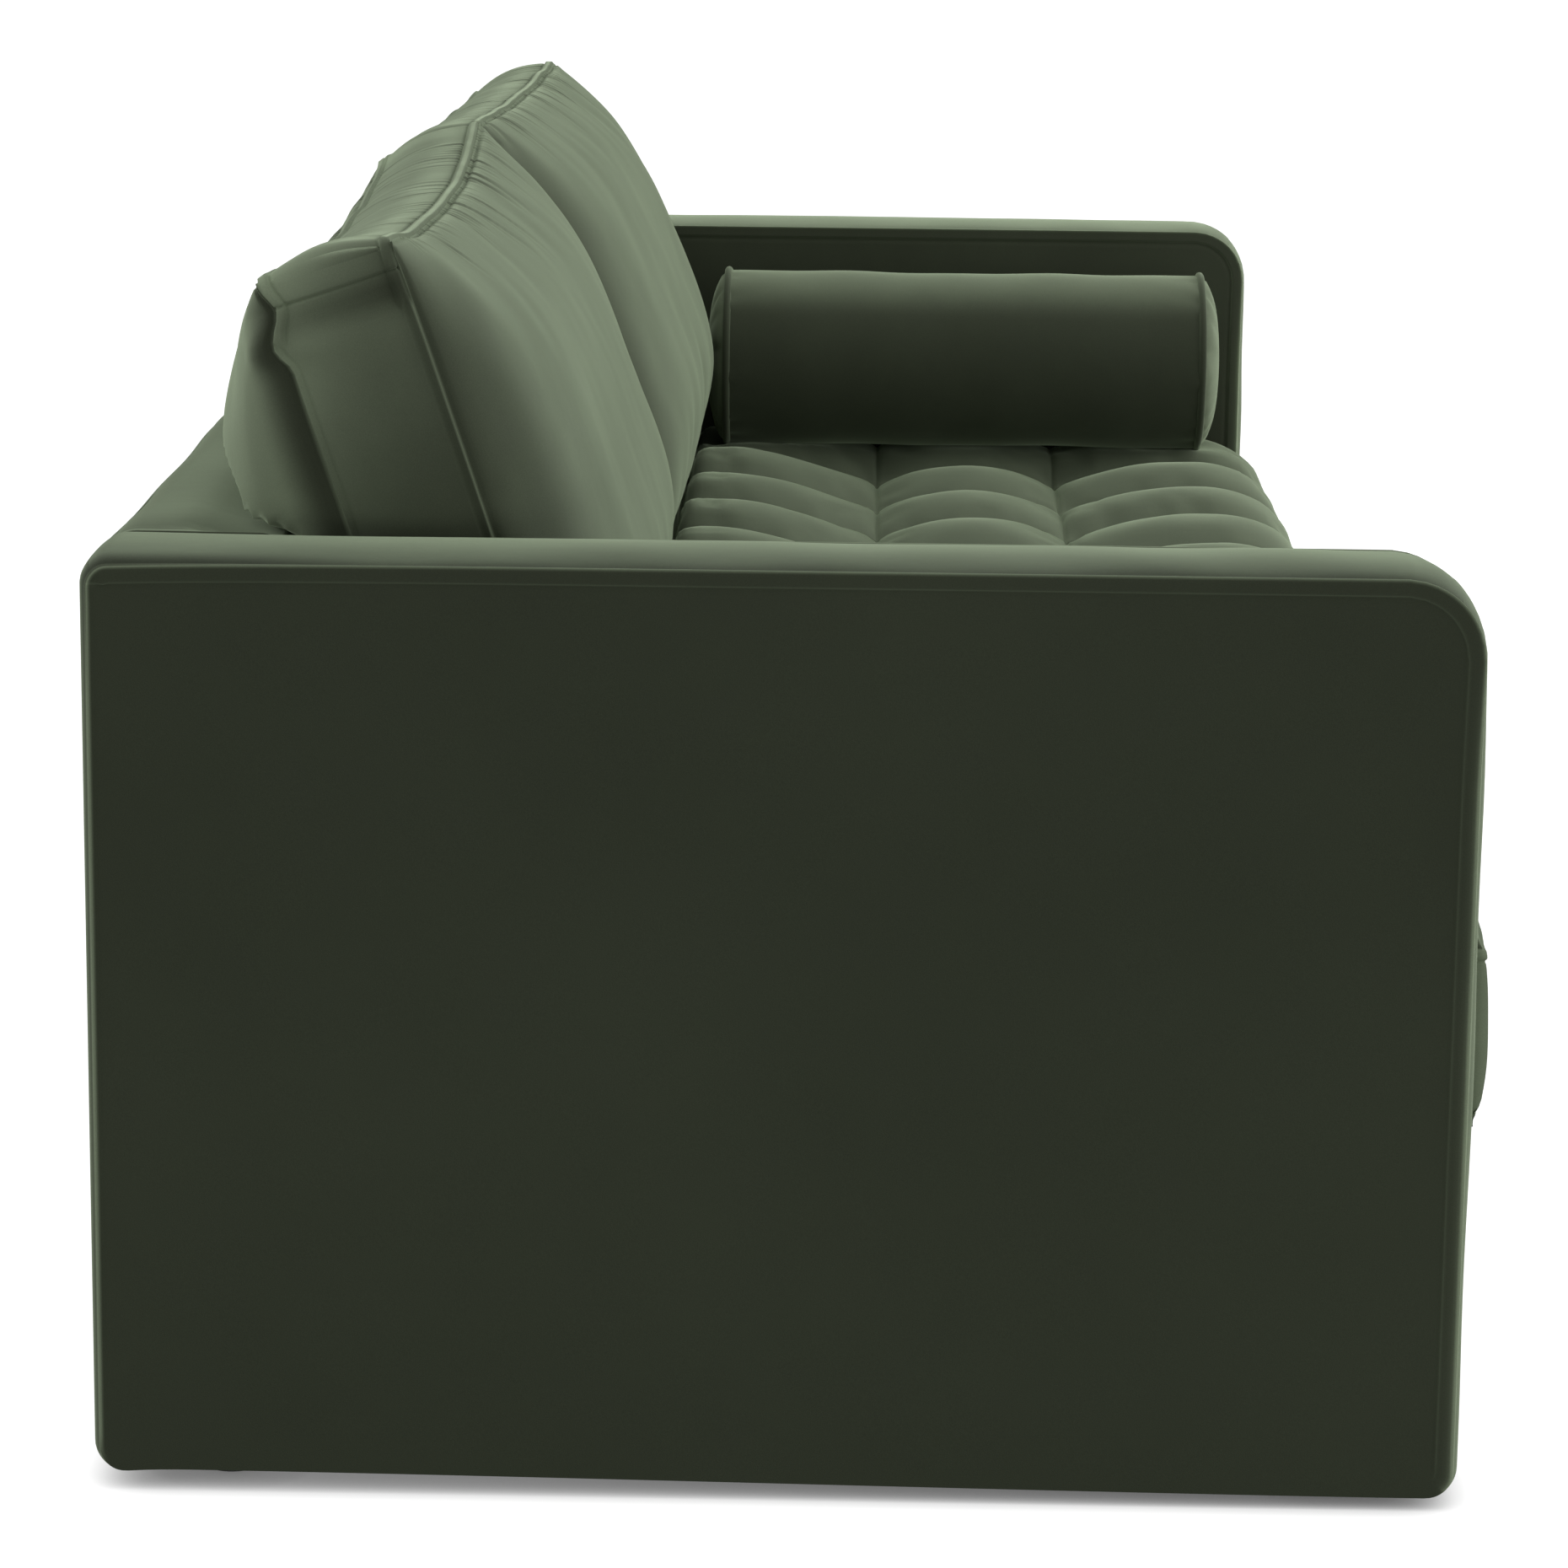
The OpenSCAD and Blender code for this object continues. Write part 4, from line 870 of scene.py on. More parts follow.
class SOFA_OT_seat(bpy.types.Operator):
    """Make the tufted seat cushion"""

    bl_idname = "sofa.make_seat"
    bl_label = "Seat cushion"

    def execute(self, context):
        s = context.scene.sofa_seat
        low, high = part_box("seat_cushion")
        side_bulge, drawn_in = 0.002, 0.004
        x1 = high.x - side_bulge
        y0, y1 = low.y + s.bulge, high.y - side_bulge
        seam_z = low.z + s.border
        rows = (y0 + s.front_row, y0 + s.front_row + s.row)
        pitch = 2.0 * x1 / s.columns
        clearance, far_off = 0.0015, 9.0
        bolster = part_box("left_bolster")
        bolster_x, bolster_z = ((bolster[0][k] + bolster[1][k]) / 2.0 for k in (0, 2))
        bolster_r = bolster_z - bolster[0].z + clearance

        def rise(t):
            return np.sqrt(np.maximum(1.0 - (1.0 - np.clip(t, 0.0, 1.0)) ** 2, 0.0))

        def groove(off, pitches):
            """1 along a channel, falling to 0 midway to the next one."""
            return (1.0 - np.minimum(np.abs(2.0 * off / pitches), 1.0)) ** 2.0

        def columns_at(x):
            k = np.round((x + x1) / pitch)
            off = x + x1 - k * pitch
            return np.where((k < 0.5) | (k > s.columns - 0.5), far_off, off)

        def rows_at(y):
            return np.where(np.abs(y - rows[0]) < np.abs(y - rows[1]), y - rows[0], y - rows[1])

        def plan(at):
            """Place across and along the cushion."""
            return at[:, 0] * x1, y0 + (at[:, 1] + 1.0) / 2.0 * (y1 - y0)

        def surface(at):
            a, b, c = at.T
            x, y = plan(at)
            gx = groove(columns_at(x), pitch)
            gy = groove(rows_at(y), np.where(y < rows[0], s.row * 1.2, np.where(
                y > rows[1], s.row * 1.5, s.row)))
            # The rows stop short of the sides, where the bolsters lie
            gy = gy * (1.0 - 0.75 * smooth_step(x1 - 0.95 * pitch, x1 - 0.6 * pitch, np.abs(x)))
            side_round, front_round, rear_round = 0.060, 0.090, 0.014
            edge = rise((x1 - np.abs(x)) / side_round) * rise((y - y0) / front_round) * rise(
                (y1 - y) / rear_round)
            hollow = s.channel * (1.0 - (1.0 - gx) * (1.0 - gy)) + s.tuft * gx * gy
            swell_by = s.front_swell * smooth_step(rows[0], y0 + 0.1, y)
            swell_by = swell_by + s.rear_swell * smooth_step(rows[1], y1 - 0.03, y)
            top = seam_z + edge * (s.crown + swell_by * (1.0 - gx) ** 0.5 - hollow)
            # Each bolster presses its own hollow into the seat
            beside = np.clip(1.0 - ((np.abs(x) - bolster_x) / bolster_r) ** 2, 0.0, 1.0)
            under = bolster_z - bolster_r * np.sqrt(beside)
            along = smooth_step(bolster[0].y - 0.05, bolster[0].y - 0.01, y)
            under = np.where(beside > 0.0, under, far_off) + far_off * (1.0 - along)
            top = soft_min(top, np.minimum(under, far_off), 0.006)
            z = np.where(at_high(c), top, low.z + (c + 1.0) / 2.0 * s.border)
            out = np.maximum(1.0 - c * c, 0.0) ** 0.6
            draw = -drawn_in * smooth_step(-0.7, -1.0, c)
            x = x + np.where(at_end(a), np.sign(a) * (side_bulge * out + draw), 0.0)
            bulge = np.where(b < 0.0, s.bulge, side_bulge)
            y = y + np.where(at_end(b), np.sign(b) * (bulge * out + draw), 0.0)
            # The front is drawn back at its corners
            corner = 0.12
            ends = smooth_step(x1 - corner, x1, np.abs(x)) * smooth_step(y0 + corner, y0, y)
            return np.stack([x, y + s.corner_ease * ends, z], 1)

        def held(at):
            """The channels, the border and the edges of the top are sewn down."""
            a, b, c = at.T
            x, y = plan(at)
            line = np.minimum(np.abs(columns_at(x)), np.abs(rows_at(y)))
            edge = (np.abs(a) > 0.98) | (b > 0.95) | (b < -0.97)
            return (line < 0.007) | ~at_high(c) | edge

        near = (0.0, 0.0012, 0.003, 0.006, 0.011, 0.019, 0.03, 0.045)
        rim = (0.0, 0.0012, 0.003, 0.006, 0.010, 0.015, 0.022, 0.031)
        seam = (0.0, 0.0007, 0.0015, 0.003, 0.0055, 0.0075, 0.0085, 0.0095, 0.011, 0.014, 0.02)
        skin = Skin(
            places(2.0 * x1, rim, rim, 0.011, [k * pitch for k in range(1, s.columns)], near),
            places(y1 - y0, rim, rim, 0.009, [r - y0 for r in rows], near),
            places(s.border, seam, seam, 0.008))
        points = surface(skin.places)
        points += blown_up(
            surface, (2.0 * x1, y1 - y0, s.border), 0.0125, held, skin, s.puff, growth=0.015)
        out = outward_normals(points, skin.quads)
        a, b, c = skin.places.T
        rng = np.random.default_rng(41)
        x, y = plan(skin.places)
        top = at_high(c)
        line = np.minimum(np.abs(columns_at(x)), np.abs(rows_at(y)))
        calm = rise((x1 - np.abs(x)) / 0.03) * rise((y1 - y) / 0.03) * rise((y - y0) / 0.03)
        crease, crease_width = 0.0022, 0.0020
        lift = -crease * bell(line, crease_width) * calm
        # Pulls that fan out from the tufts, and folds along the rear and front seams
        pulls, pull_reach, pull_fade, pull_width = 9, 0.075, 0.03, 0.16
        for row in rows:
            for k in range(1, s.columns):
                dx, dy = x - (k * pitch - x1), y - row
                reach = np.hypot(dx, dy)
                close = top & (reach < pull_reach)
                angle = np.arctan2(dy[close], dx[close])
                pull = np.zeros(close.sum())
                for _ in range(pulls):
                    turn = np.angle(np.exp(1j * (angle - rng.uniform(-np.pi, np.pi))))
                    pull -= rng.uniform(0.0006, 0.0016) * bell(turn, pull_width)
                lift[close] += pull * bell(reach[close], pull_fade) * smooth_step(
                    0.002, 0.008, reach[close])
        run = (-x1, x1)
        lift += top * folds(x, y1 - y, rng, 210, run, (0.06, 0.15), (0.0006, 0.0020),
                            (0.0024, 0.0050))
        lift += top * folds(x, y - y0, rng, 150, run, (0.008, 0.035), (0.0004, 0.0014),
                            (0.002, 0.004))
        border = ~top & ~at_low(c)
        below = (1.0 - c) / 2.0 * s.border
        lift += border * flange_rise(below, s.flange, 0.0020)
        lift += border * flange_rise(s.border - below, s.flange, 0.0014)
        # The side borders follow on from the front and rear ones, past the end of X
        beyond = 5.0
        round_way = np.where(at_end(b), x, y + beyond)
        soft = folds(round_way, below, rng, 260, (-x1, beyond + 0.3), (0.01, 0.06),
                     (0.0004, 0.0016), (0.002, 0.0045))
        lift += border * soft * smooth_step(s.flange, s.flange + 0.004, below)
        lift += 0.0006 * swell(points, 0.07, 10, rng) * ~at_low(c)
        points += out * lift[:, None]
        # The cushion lies flat on its slats and clear of the arms
        points[:, 2] = np.maximum(points[:, 2], low.z)
        points[:, 0] = np.clip(points[:, 0], low.x - 0.003, high.x + 0.003)
        points[:, 1] = np.minimum(points[:, 1], high.y + 0.002)
        # Painted light pales the whole top a little, and a painted highlight pales the sides beside
        # the front
        nap = np.where(top, 0.28, 0.9 * smooth_step(0.035, 0.02, y - y0) * at_end(a))
        make_piece("seat_velvet", points, skin.quads, "seat",
                   instead_of=["seat_cushion", "seat_foam"], nap=nap)
        return {"FINISHED"}


class SOFA_OT_rear_pad(bpy.types.Operator):
    """Make the fixed pad under the back cushions"""

    bl_idname = "sofa.make_rear_pad"
    bl_label = "Rear pad"

    def execute(self, context):
        edge = (0.0, 0.0012, 0.0028, 0.005, 0.008, 0.0115, 0.016)
        low, high, skin, points = box_skin(
            "rear_pad", (edge, edge, 0.02), (edge, edge, 0.012), (edge, edge, 0.014))
        edge_radius = 0.0159
        points = rounded(
            points, (low, high), edge_radius, ((-1, 1), (1, 1), (-1, -1), (1, -1)))
        out = outward_normals(points, skin.quads)
        seam_below, flange, rise, slack = 0.046, 0.006, 0.0014, 0.0008
        seam = flange_rise(np.abs(high.z - seam_below - points[:, 2]), flange, rise)
        _, fore, up = skin.places.T
        lift = np.where(at_low(fore) & ~at_high(up), seam, 0.0)
        lift += slack * (swell(points, 0.09, 9, np.random.default_rng(51)) - 1.0)
        points += out * (lift * ~at_low(up))[:, None]
        make_piece("rear_pad_velvet", points, skin.quads, "sofa_frame", instead_of=["rear_pad"])
        return {"FINISHED"}


class SOFA_OT_back_cushions(bpy.types.Operator):
    """Make both leaning back cushions, with gathered seams and flat flanges"""

    bl_idname = "sofa.make_back_cushions"
    bl_label = "Back cushions"

    # Exponents of a panel's crown: how squarely it fills out across, up and down
    ACROSS_POWER, UP_POWER, DOWN_POWER = 5.2, 2.75, 3.9
    # and how steeply it leaves its end seams and its long seams
    FRONT_END_POWER, REAR_END_POWER, HEIGHT_POWER = 0.56, 0.46, 0.69

    def execute(self, context):
        for number, (side, sign) in enumerate(SIDES.items()):
            self.make(context.scene.sofa_cushion, side, sign, number)
        return {"FINISHED"}

    def crowned(self, s, at):
        """How far a panel stands out from the plane of its seam."""
        a, b, c = at.T
        front = c < 0.0
        ends = np.where(front, self.FRONT_END_POWER, self.REAR_END_POWER)
        height = np.where(b > 0.0, self.UP_POWER, self.DOWN_POWER)
        fill = np.maximum(1.0 - np.abs(a) ** self.ACROSS_POWER, 0.0) ** ends
        fill = fill * np.maximum(1.0 - np.abs(b) ** height, 0.0) ** self.HEIGHT_POWER
        return fill * np.where(front, -s.front_crown, s.rear_crown)

    def make(self, s, side, sign, number):
        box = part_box(side + "_back_cushion")
        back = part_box("back_cover")
        floor_z = box[0].z
        side_gap, before_back, above_pad, off_back = 0.0076, 0.1548, 0.005, 0.0025
        half = (box[1].x - box[0].x) / 2.0 - side_gap
        middle = (box[0].x + box[1].x) / 2.0
        base_y, base_z = back[0].y - before_back, floor_z + above_pad
        leans, heights = getattr(s, side + "_lean"), getattr(s, side + "_height")
        dip = getattr(s, side + "_dip")
        rest, top = back[0].y - off_back, back[1].z

        def behind(z):
            """How far back the rear may lie at the height z: it lies on the back's top."""
            return rest + s.over_back * (
                0.54 * smooth_step(top - 0.0095, top - 0.003, z)
                + 0.46 * smooth_step(top - 0.003, top + 0.070, z))

        def surface(at):
            a, b, c = at.T
            outer = (1.0 + a * sign) / 2.0
            lean = leans[1] + (leans[0] - leans[1]) * outer
            tall = heights[1] + (heights[0] - heights[1]) * outer
            tall = tall - dip * (1.0 - np.abs(a) ** 2.2)
            panel = at_end(c)
            t = c * s.gusset / 2.0 + np.where(panel, self.crowned(s, at), 0.0)
            out = np.where(panel, 0.0, s.bulge * (1.0 - c * c))
            x = a * (half - s.draw_in * (1.0 - b * b)) + at_end(a) * np.sign(a) * out
            h = (b + 1.0) / 2.0 * tall + at_end(b) * np.sign(b) * out
            radius = s.seam_corner[number] + (s.corner - s.seam_corner[number]) * np.sqrt(
                np.maximum(1.0 - c * c, 0.0))
            for way in (-1, 1):
                x, h = round_corner(x, h, (way * (half + out), tall + out), radius, (way, 1))
            # The outer rear seam waves where the cover is pulled over the back's top
            at_rear = smooth_step(0.2, 1.0, c) * smooth_step(0.93, 1.0, a * sign)
            wave = 0.0030 * bell(h, 0.011, 0.376) - 0.0072 * bell(h, 0.012, 0.399)
            t = t + at_rear * (wave - 0.0050 * smooth_step(0.372, 0.356, h))
            y = base_y + h * np.sin(lean) + t * np.cos(lean)
            z = base_z + h * np.cos(lean) - t * np.sin(lean)
            return np.stack([middle + x, soft_min(y, behind(z), 0.006), z], 1)

        def held(at):
            """The seams, the bottom and the rear's lower half are held."""
            a, b, c = at.T
            seam = at_end(c) & ((np.abs(a) > 0.985) | (np.abs(b) > 0.97))
            return seam | at_low(b) | (at_high(c) & (b < 0.1))

        seam = (0.0, 0.0008, 0.0018, 0.0034, 0.0055, 0.0074, 0.0084, 0.0094, 0.0106, 0.013, 0.018,
                0.026)
        rim = (0.0, 0.0001, 0.0003, 0.0008, 0.0018, 0.0035, 0.006, 0.0095, 0.014)
        tall = max(heights)
        span = (2.0 * half, tall, s.gusset)
        beside = (0.0172, 0.0185, 0.0193, 0.0200, 0.0207, 0.0215, 0.0228)
        skin = Skin(places(span[0], rim, rim, 0.0030), places(span[1], rim, rim + beside, 0.0062),
                    places(span[2], seam, seam, 0.006))
        points = surface(skin.places)
        # Only the broad swelling of the cloth is kept, because the folds are sewn in below
        points += blown_up(
            surface, span, 0.0115, held, skin, s.puff, growth=0.012, smooth=4)
        out = outward_normals(points, skin.quads)
        a, b, c = skin.places.T
        rng = np.random.default_rng(61 + number)
        x, h = a * half, (b + 1.0) / 2.0 * tall
        panel, over, end = at_end(c), at_high(b), at_end(a) & ~at_end(c)
        from_top, from_end = tall - h, half - np.abs(x)
        inside = (1.0 - np.abs(c)) / 2.0 * s.gusset
        lift = np.zeros(len(points))
        # Gathers along the top seams: short ones everywhere, and a few long ones
        calm_ends = (0.06, 0.04) if sign < 0 else (0.04, 0.06)
        run = (calm_ends[0] - half, half - calm_ends[1])
        for face in (-1.0, 1.0):
            short = folds(x, from_top, rng, s.gathers, run, (0.010, 0.042), (0.0005, 0.0014),
                          (0.0018, 0.0032), bend=2.0, lean=0.22)
            long = folds(x, from_top, rng, s.gathers // 5, run, (0.045, 0.085), (0.0009, 0.0018),
                         (0.0026, 0.0042), bend=2.4, lean=0.28)
            low = folds(x, h, rng, s.gathers // 2, run, (0.012, 0.07), (0.0005, 0.0018),
                        (0.0024, 0.005))
            ends = folds(h, from_end, rng, 9, (0.03, tall - 0.10), (0.012, 0.045),
                         (0.0004, 0.0012), (0.005, 0.010), lean=0.3)
            lift += (panel & (c * face > 0.0)) * (short + long + low + ends)
            away = (1.0 + c * face) / 2.0 * s.gusset - s.flange
            cross = folds(x, np.maximum(away, 0.0), rng, s.gathers, run, (0.012, 0.075),
                          (0.0004, 0.0013), (0.0016, 0.0030), bend=1.0, lean=0.10)
            lift += (over & (away > 0.0)) * cross
        # The flat flange runs along the top, turns down the ends for the length of its tab and goes
        # on as a narrow cord
        cord_rise = 0.0014
        cord = cord_rise * (bell(inside, 0.0011, 0.0014) - bell(inside, 0.0014, 0.0044))
        drop = np.where(over, 0.0, from_top)
        wide = 1.0 - smooth_step(s.tab - 0.0015, s.tab + 0.0015, drop)
        lift += ~panel * (wide * flange_rise(inside, s.flange, s.flange_rise) + (1.0 - wide) * cord)
        # The border's top piece meets its end pieces along a seam below each corner
        lift -= end * 0.0024 * bell(from_top, 0.0009, 0.0200)
        from_seam = np.minimum(from_end, np.minimum(from_top, h))
        from_seam = np.where(panel, np.hypot(from_seam, self.crowned(s, skin.places)), inside)
        lift -= panel * 0.0018 * bell(from_seam, 0.0014, 0.0026)
        # The ends sag below their top seam into a soft roll
        sag, sag_from, sag_fade = 0.006, 0.055, 0.06
        roll = smooth_step(0.03, sag_from, drop) * np.exp(
            -np.maximum(drop - sag_from, 0.0) / sag_fade)
        lift += end * roll * sag * smooth_step(0.004, 0.03, inside)
        broad = 0.0010 * swell(points, 0.18, 10, rng) + 0.0001 * swell(points, 0.05, 10, rng)
        lift += broad * ~at_low(b)
        points += out * lift[:, None]
        # Painted highlights pale the seams, and the border near the ends from its top downwards,
        # but leave it darker under the seam's roll; painted light pales the rear's swelling and, a
        # little, the front
        painted_seam_highlight = bell(from_seam, 0.0011) * (0.35 + 0.65 * (1.0 - wide) * (drop > 0.0))
        painted_highlight = smooth_step(0.26, 0.02, drop) * (0.56 + 0.36 * c)
        painted_highlight = painted_highlight - 0.30 * bell(drop, 0.012, 0.032) * ~panel
        painted_highlight = np.clip(painted_highlight, 0.0, 1.0) * ~panel * smooth_step(0.12, 0.0, from_end)
        bulge = smooth_step(0.008, 0.040, from_seam) * smooth_step(0.42, 0.2, from_top)
        painted_highlight = painted_highlight + 0.75 * bulge * at_high(c) + 0.10 * at_low(c)
        # Crush at the rear, weight on the pad, and room beside the arm and the other cushion
        points[:, 1] = np.minimum(points[:, 1], behind(points[:, 2]))
        points[:, 2] = np.maximum(points[:, 2], floor_z)
        inner_room, outer_room = 0.002, 0.008
        outer = np.abs(points[:, 0]) > abs(middle)
        over_arm = smooth_step(top - 0.01, top + 0.03, points[:, 2])
        room = inner_room + (outer_room - inner_room) * over_arm * outer
        points[:, 0] = np.clip(points[:, 0], box[0].x - room, box[1].x + room)
        make_piece(
            side + "_back_cushion_velvet", points, skin.quads, "sofa_frame",
            instead_of=[side + "_back_cushion", side + "_back_filling"],
            nap=np.maximum(0.5 * painted_seam_highlight, painted_highlight))


class SOFA_OT_bolsters(bpy.types.Operator):
    """Make both bolsters with their piping"""

    bl_idname = "sofa.make_bolsters"
    bl_label = "Bolsters"

    def execute(self, context):
        for number, side in enumerate(SIDES):
            rng = np.random.default_rng(71 + number)
            self.make(context.scene.sofa_bolster, side, rng)
        return {"FINISHED"}

    def make(self, s, side, rng):
        low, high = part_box(side + "_bolster")
        centre = (low + high) / 2.0
        seam = (0.0, 0.0015, 0.004, 0.008, 0.013, 0.02, 0.03)
        ring = even(2.0 * s.radius, 0.0062)
        skin = Skin(ring, places(s.body, seam, seam, 0.011), ring)
        a, b, c = skin.places.T
        p, q = concentric(a, c)
        reach, turn = np.hypot(p, q), np.arctan2(q, p)
        end = at_end(b)
        # The ends are gathered into their ring, and the body has short pulls beside it
        gathers, pulls = 34, 46
        dome = s.dome * np.sqrt(np.maximum(1.0 - reach ** 2.4, 0.0))
        ripple = np.zeros(len(a))
        for _ in range(gathers):
            heading = rng.uniform(-np.pi, np.pi)
            off = np.angle(np.exp(1j * (turn - heading))) / rng.uniform(0.05, 0.10)
            ripple -= rng.uniform(0.0008, 0.0026) * bell(off, 1.0) * smooth_step(
                rng.uniform(0.25, 0.6), 1.0, reach)
        along = b * s.body / 2.0 + end * np.sign(b) * (
            dome + ripple * smooth_step(1.0, 0.93, reach))
        from_ring = s.body / 2.0 - np.abs(b) * s.body / 2.0
        pull = folds(turn * s.radius, from_ring, rng, pulls, (-0.3, 0.3), (0.01, 0.06),
                     (0.0005, 0.0018), (0.003, 0.007), bend=0.8)
        radius = np.where(end, s.radius, s.radius * (1.0 - 0.004 * (1.0 - b * b)) + pull)
        points = np.stack([centre.x + p * radius, centre.y + along, centre.z + q * radius], 1)
        points += 0.0007 * swell(points, 0.12, 9, rng)[:, None] * np.stack(
            [p, np.zeros(len(p)), q], 1)
        # The bolster lies flat where it rests on the seat
        flat = 0.001
        points[:, 2] = np.maximum(points[:, 2], low.z + flat)
        # Painted light pales the domed ends and the top of the body
        make_piece(side + "_bolster_velvet", points, skin.quads, "seat",
                   instead_of=[side + "_bolster", side + "_bolster_core"],
                   nap=np.where(end, 0.5, 0.5 * smooth_step(0.55, 1.0, q)))
        angles = np.linspace(0.0, 2.0 * np.pi, 120, endpoint=False)
        for end_name, way in (("front", -1.0), ("rear", 1.0)):
            wobble = 0.0006 * np.sin(5.0 * angles + rng.uniform(0.0, 6.0))
            r = s.radius - s.piping_set + wobble
            path = np.stack([
                centre.x + r * np.cos(angles),
                np.full(len(angles), centre.y + way * s.body / 2.0),
                centre.z + r * np.sin(angles)], 1)
            points, quads = swept(path, s.piping)
            points[:, 2] = np.maximum(points[:, 2], low.z - flat)
            make_piece(f"{side}_bolster_{end_name}_piping", points, quads, "seat")


class SOFA_OT_frame_finishes(bpy.types.Operator):
    """Give the timber, slats, steel and mouldings of the frame their finishes"""

    bl_idname = "sofa.finish_frame"
    bl_label = "Frame finishes"

    def execute(self, context):
        s = context.scene.sofa_finish
        wood, scuffs = wood_group(), wear_group()
        pine = {"Early": s.pine, "Late": s.pine_late, "Rings": 9.0}
        birch = {"Early": s.birch, "Late": s.birch_late, "Rings": 16.0}
        along_y, along_x, along_z = (6.0, 0.5, 6.0), (0.5, 6.0, 6.0), (6.0, 6.0, 0.5)

        def worn(base, rough, texture):
            return {"Base": base, "Rough": rough, "Texture": texture}

        # Each finish: its group, the group's values and the material's own settings
        finishes = {
            "pine_along_y": (wood, pine, {"stretch": along_y}),
            "pine_along_x": (wood, pine, {"stretch": along_x}),
            "pine_along_z": (wood, pine, {"stretch": along_z}),
            "birch": (wood, birch, {"stretch": along_y, "bump": 0.15}),
            "zinc": (scuffs, worn(s.zinc, 0.34, 240.0), {"metal": 1.0}),
            "black_coat": (scuffs, worn(s.black, 0.42, 700.0), {}),
            "nylon": (scuffs, worn(s.black, 0.55, 1500.0), {}),
            "rubber": (scuffs, worn(s.black, 0.8, 500.0), {}),
        }
        wears = {
            "pine_along_z": ["right_arm_frame", "left_arm_frame", "back_frame"],
            "pine_along_y": ["side_ledgers", "sliding_side_rails"],
            "pine_along_x": ["rear_ledger", "cross_beam", "sliding_rear_bar", "front_rail"],
            "birch": ["fixed_slats", "sliding_slats"],
            "zinc": ["beam_brackets", "ledger_bolts", "back_bolts", "outer_runners",
                     "middle_runners", "inner_runners", "caster_brackets", "caster_axles"],
            "black_coat": ["beam_legs"],
            "nylon": ["glides", "leg_feet", "slat_pads", "caster_wheel_1", "caster_wheel_2",
                      "caster_wheel_3", "caster_wheel_4"],
            "rubber": ["stop_bumpers"],
        }
        for finish, (group, values, settings) in finishes.items():
            material = plain_finish(finish, group, values, **settings)
            for name in wears[finish]:
                mesh = frame["nodes"][name].data
                mesh.materials.clear()
                mesh.materials.append(material)
        return {"FINISHED"}


